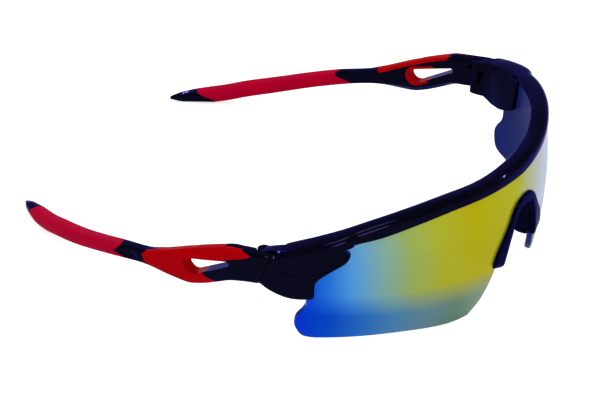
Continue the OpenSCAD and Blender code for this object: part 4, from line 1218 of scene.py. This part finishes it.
# Name, place and diameter in metres, and power in watts
LAMPS = (
    ("lamp_top", (-0.15, -0.1, 0.9), 0.4, 2.3),
    ("lamp_front", (-0.6, -0.75, 0.4), 0.45, 2.9),
    ("lamp_left", (-0.9, 0.35, 0.55), 0.02, 1.3),
    ("lamp_back", (0.45, 0.7, 0.6), 0.02, 1.5),
    ("lamp_right", (0.7, -0.7, 0.6), 0.02, 1.1),
)
WHITE = (1, 1, 1, 1)
FLOOR_SIZE, FLOOR_GAP = 6, 0.00005  # in metres
FLOOR_GLOW = 0.65  # for the camera alone, which makes the floor pale and lights nothing
WORLD_LIGHT, WORLD_SEEN = 0.5, 1.0  # strength as light, and as seen past or through the lens


class SUNGLASSES_OT_studio(bpy.types.Operator):
    """Adds the pale floor, soft lamps, white surroundings and the camera of the photograph"""
    bl_idname = "sunglasses.studio"
    bl_label = "Studio"

    def execute(self, context):
        scene = context.scene
        scene.view_settings.view_transform = "Standard"
        deselect()
        bpy.ops.mesh.primitive_plane_add(size=FLOOR_SIZE, location=(0, 0, 0))
        floor = context.object
        floor.name = floor.data.name = "floor"
        floor.data.transform(Matrix.Translation((0, 0, -FLOOR_GAP)))
        mat, tree, shader = new_material("floor_white", (0.8, 0.8, 0.8), Roughness=0.9,
                                         Specular_IOR_Level=0.0, Emission_Color=WHITE)
        seen = add_node(tree, "LightPath", "Is Camera Ray", {})
        tree.links.new(math_node(tree, "MULTIPLY", seen, FLOOR_GLOW),
                       shader.inputs["Emission Strength"])
        floor.data.materials.append(mat)
        world = bpy.data.worlds.new("studio")
        scene.world = world
        world.use_nodes = True
        tree = world.node_tree
        back = tree.nodes["Background"]
        back.inputs["Color"].default_value = WHITE
        path = tree.nodes.new("ShaderNodeLightPath")
        seen = math_node(tree, "MAXIMUM", path.outputs["Is Camera Ray"],
                         path.outputs["Is Transmission Ray"])
        tree.links.new(ranged(tree, seen, WORLD_LIGHT, WORLD_SEEN, 0, 1), back.inputs["Strength"])
        for name, place, size, power in LAMPS:
            data = bpy.data.lights.new(name, "AREA")
            data.shape, data.energy, data.size = "DISK", power, size
            lamp = bpy.data.objects.new(name, data)
            scene.collection.objects.link(lamp)
            lamp.location = place
            lamp.rotation_euler = (-Vector(place)).to_track_quat("-Z", "Y").to_euler()
        data = bpy.data.cameras.new("camera")
        data.sensor_width, data.lens = SENSOR_WIDTH, FOCAL_LENGTH
        data.clip_start, data.clip_end = 0.01, 50
        camera = bpy.data.objects.new("camera", data)
        scene.collection.objects.link(camera)
        right, up = Vector(CAMERA_RIGHT).normalized(), Vector(CAMERA_UP)
        back = right.cross(up).normalized()
        up = back.cross(right)
        camera.matrix_world = Matrix.Translation(Vector(CAMERA) * MM) @ Matrix(
            (right, up, back)).transposed().to_4x4()
        scene.camera = camera
        return {"FINISHED"}


STEPS = (SUNGLASSES_OT_studio, SUNGLASSES_OT_shield_lens, SUNGLASSES_OT_brow_frame,
         SUNGLASSES_OT_nose_piece, SUNGLASSES_OT_arms, SUNGLASSES_OT_inlays,
         SUNGLASSES_OT_ear_grips, SUNGLASSES_OT_hinge_screws)


class SUNGLASSES_PT_panel(bpy.types.Panel):
    """Lists the pieces of the sunglasses"""
    bl_idname = "SUNGLASSES_PT_panel"
    bl_label = "Sunglasses"
    bl_space_type = "VIEW_3D"
    bl_region_type = "UI"
    bl_category = "Sunglasses"

    def draw(self, context):
        for step in STEPS:
            self.layout.operator(step.bl_idname)
        for group in (context.scene.sunglass_sizes, context.scene.sunglass_colours):
            column = self.layout.column()
            for name in group.__annotations__:
                column.prop(group, name)


CLASSES = (SunglassSizes, SunglassColours) + STEPS + (SUNGLASSES_PT_panel,)


def register():
    """Registers the classes and hangs the sizes and colours on the scene."""
    for item in CLASSES:
        bpy.utils.register_class(item)
    bpy.types.Scene.sunglass_sizes = bpy.props.PointerProperty(type=SunglassSizes)
    bpy.types.Scene.sunglass_colours = bpy.props.PointerProperty(type=SunglassColours)


def unregister():
    """Takes everything back out."""
    del bpy.types.Scene.sunglass_sizes
    del bpy.types.Scene.sunglass_colours
    for item in reversed(CLASSES):
        bpy.utils.unregister_class(item)


def main():
    """Builds the studio and all pieces."""
    register()
    for step in STEPS:
        area, name = step.bl_idname.split(".")
        getattr(getattr(bpy.ops, area), name)()


if __name__ == "__main__":
    main()
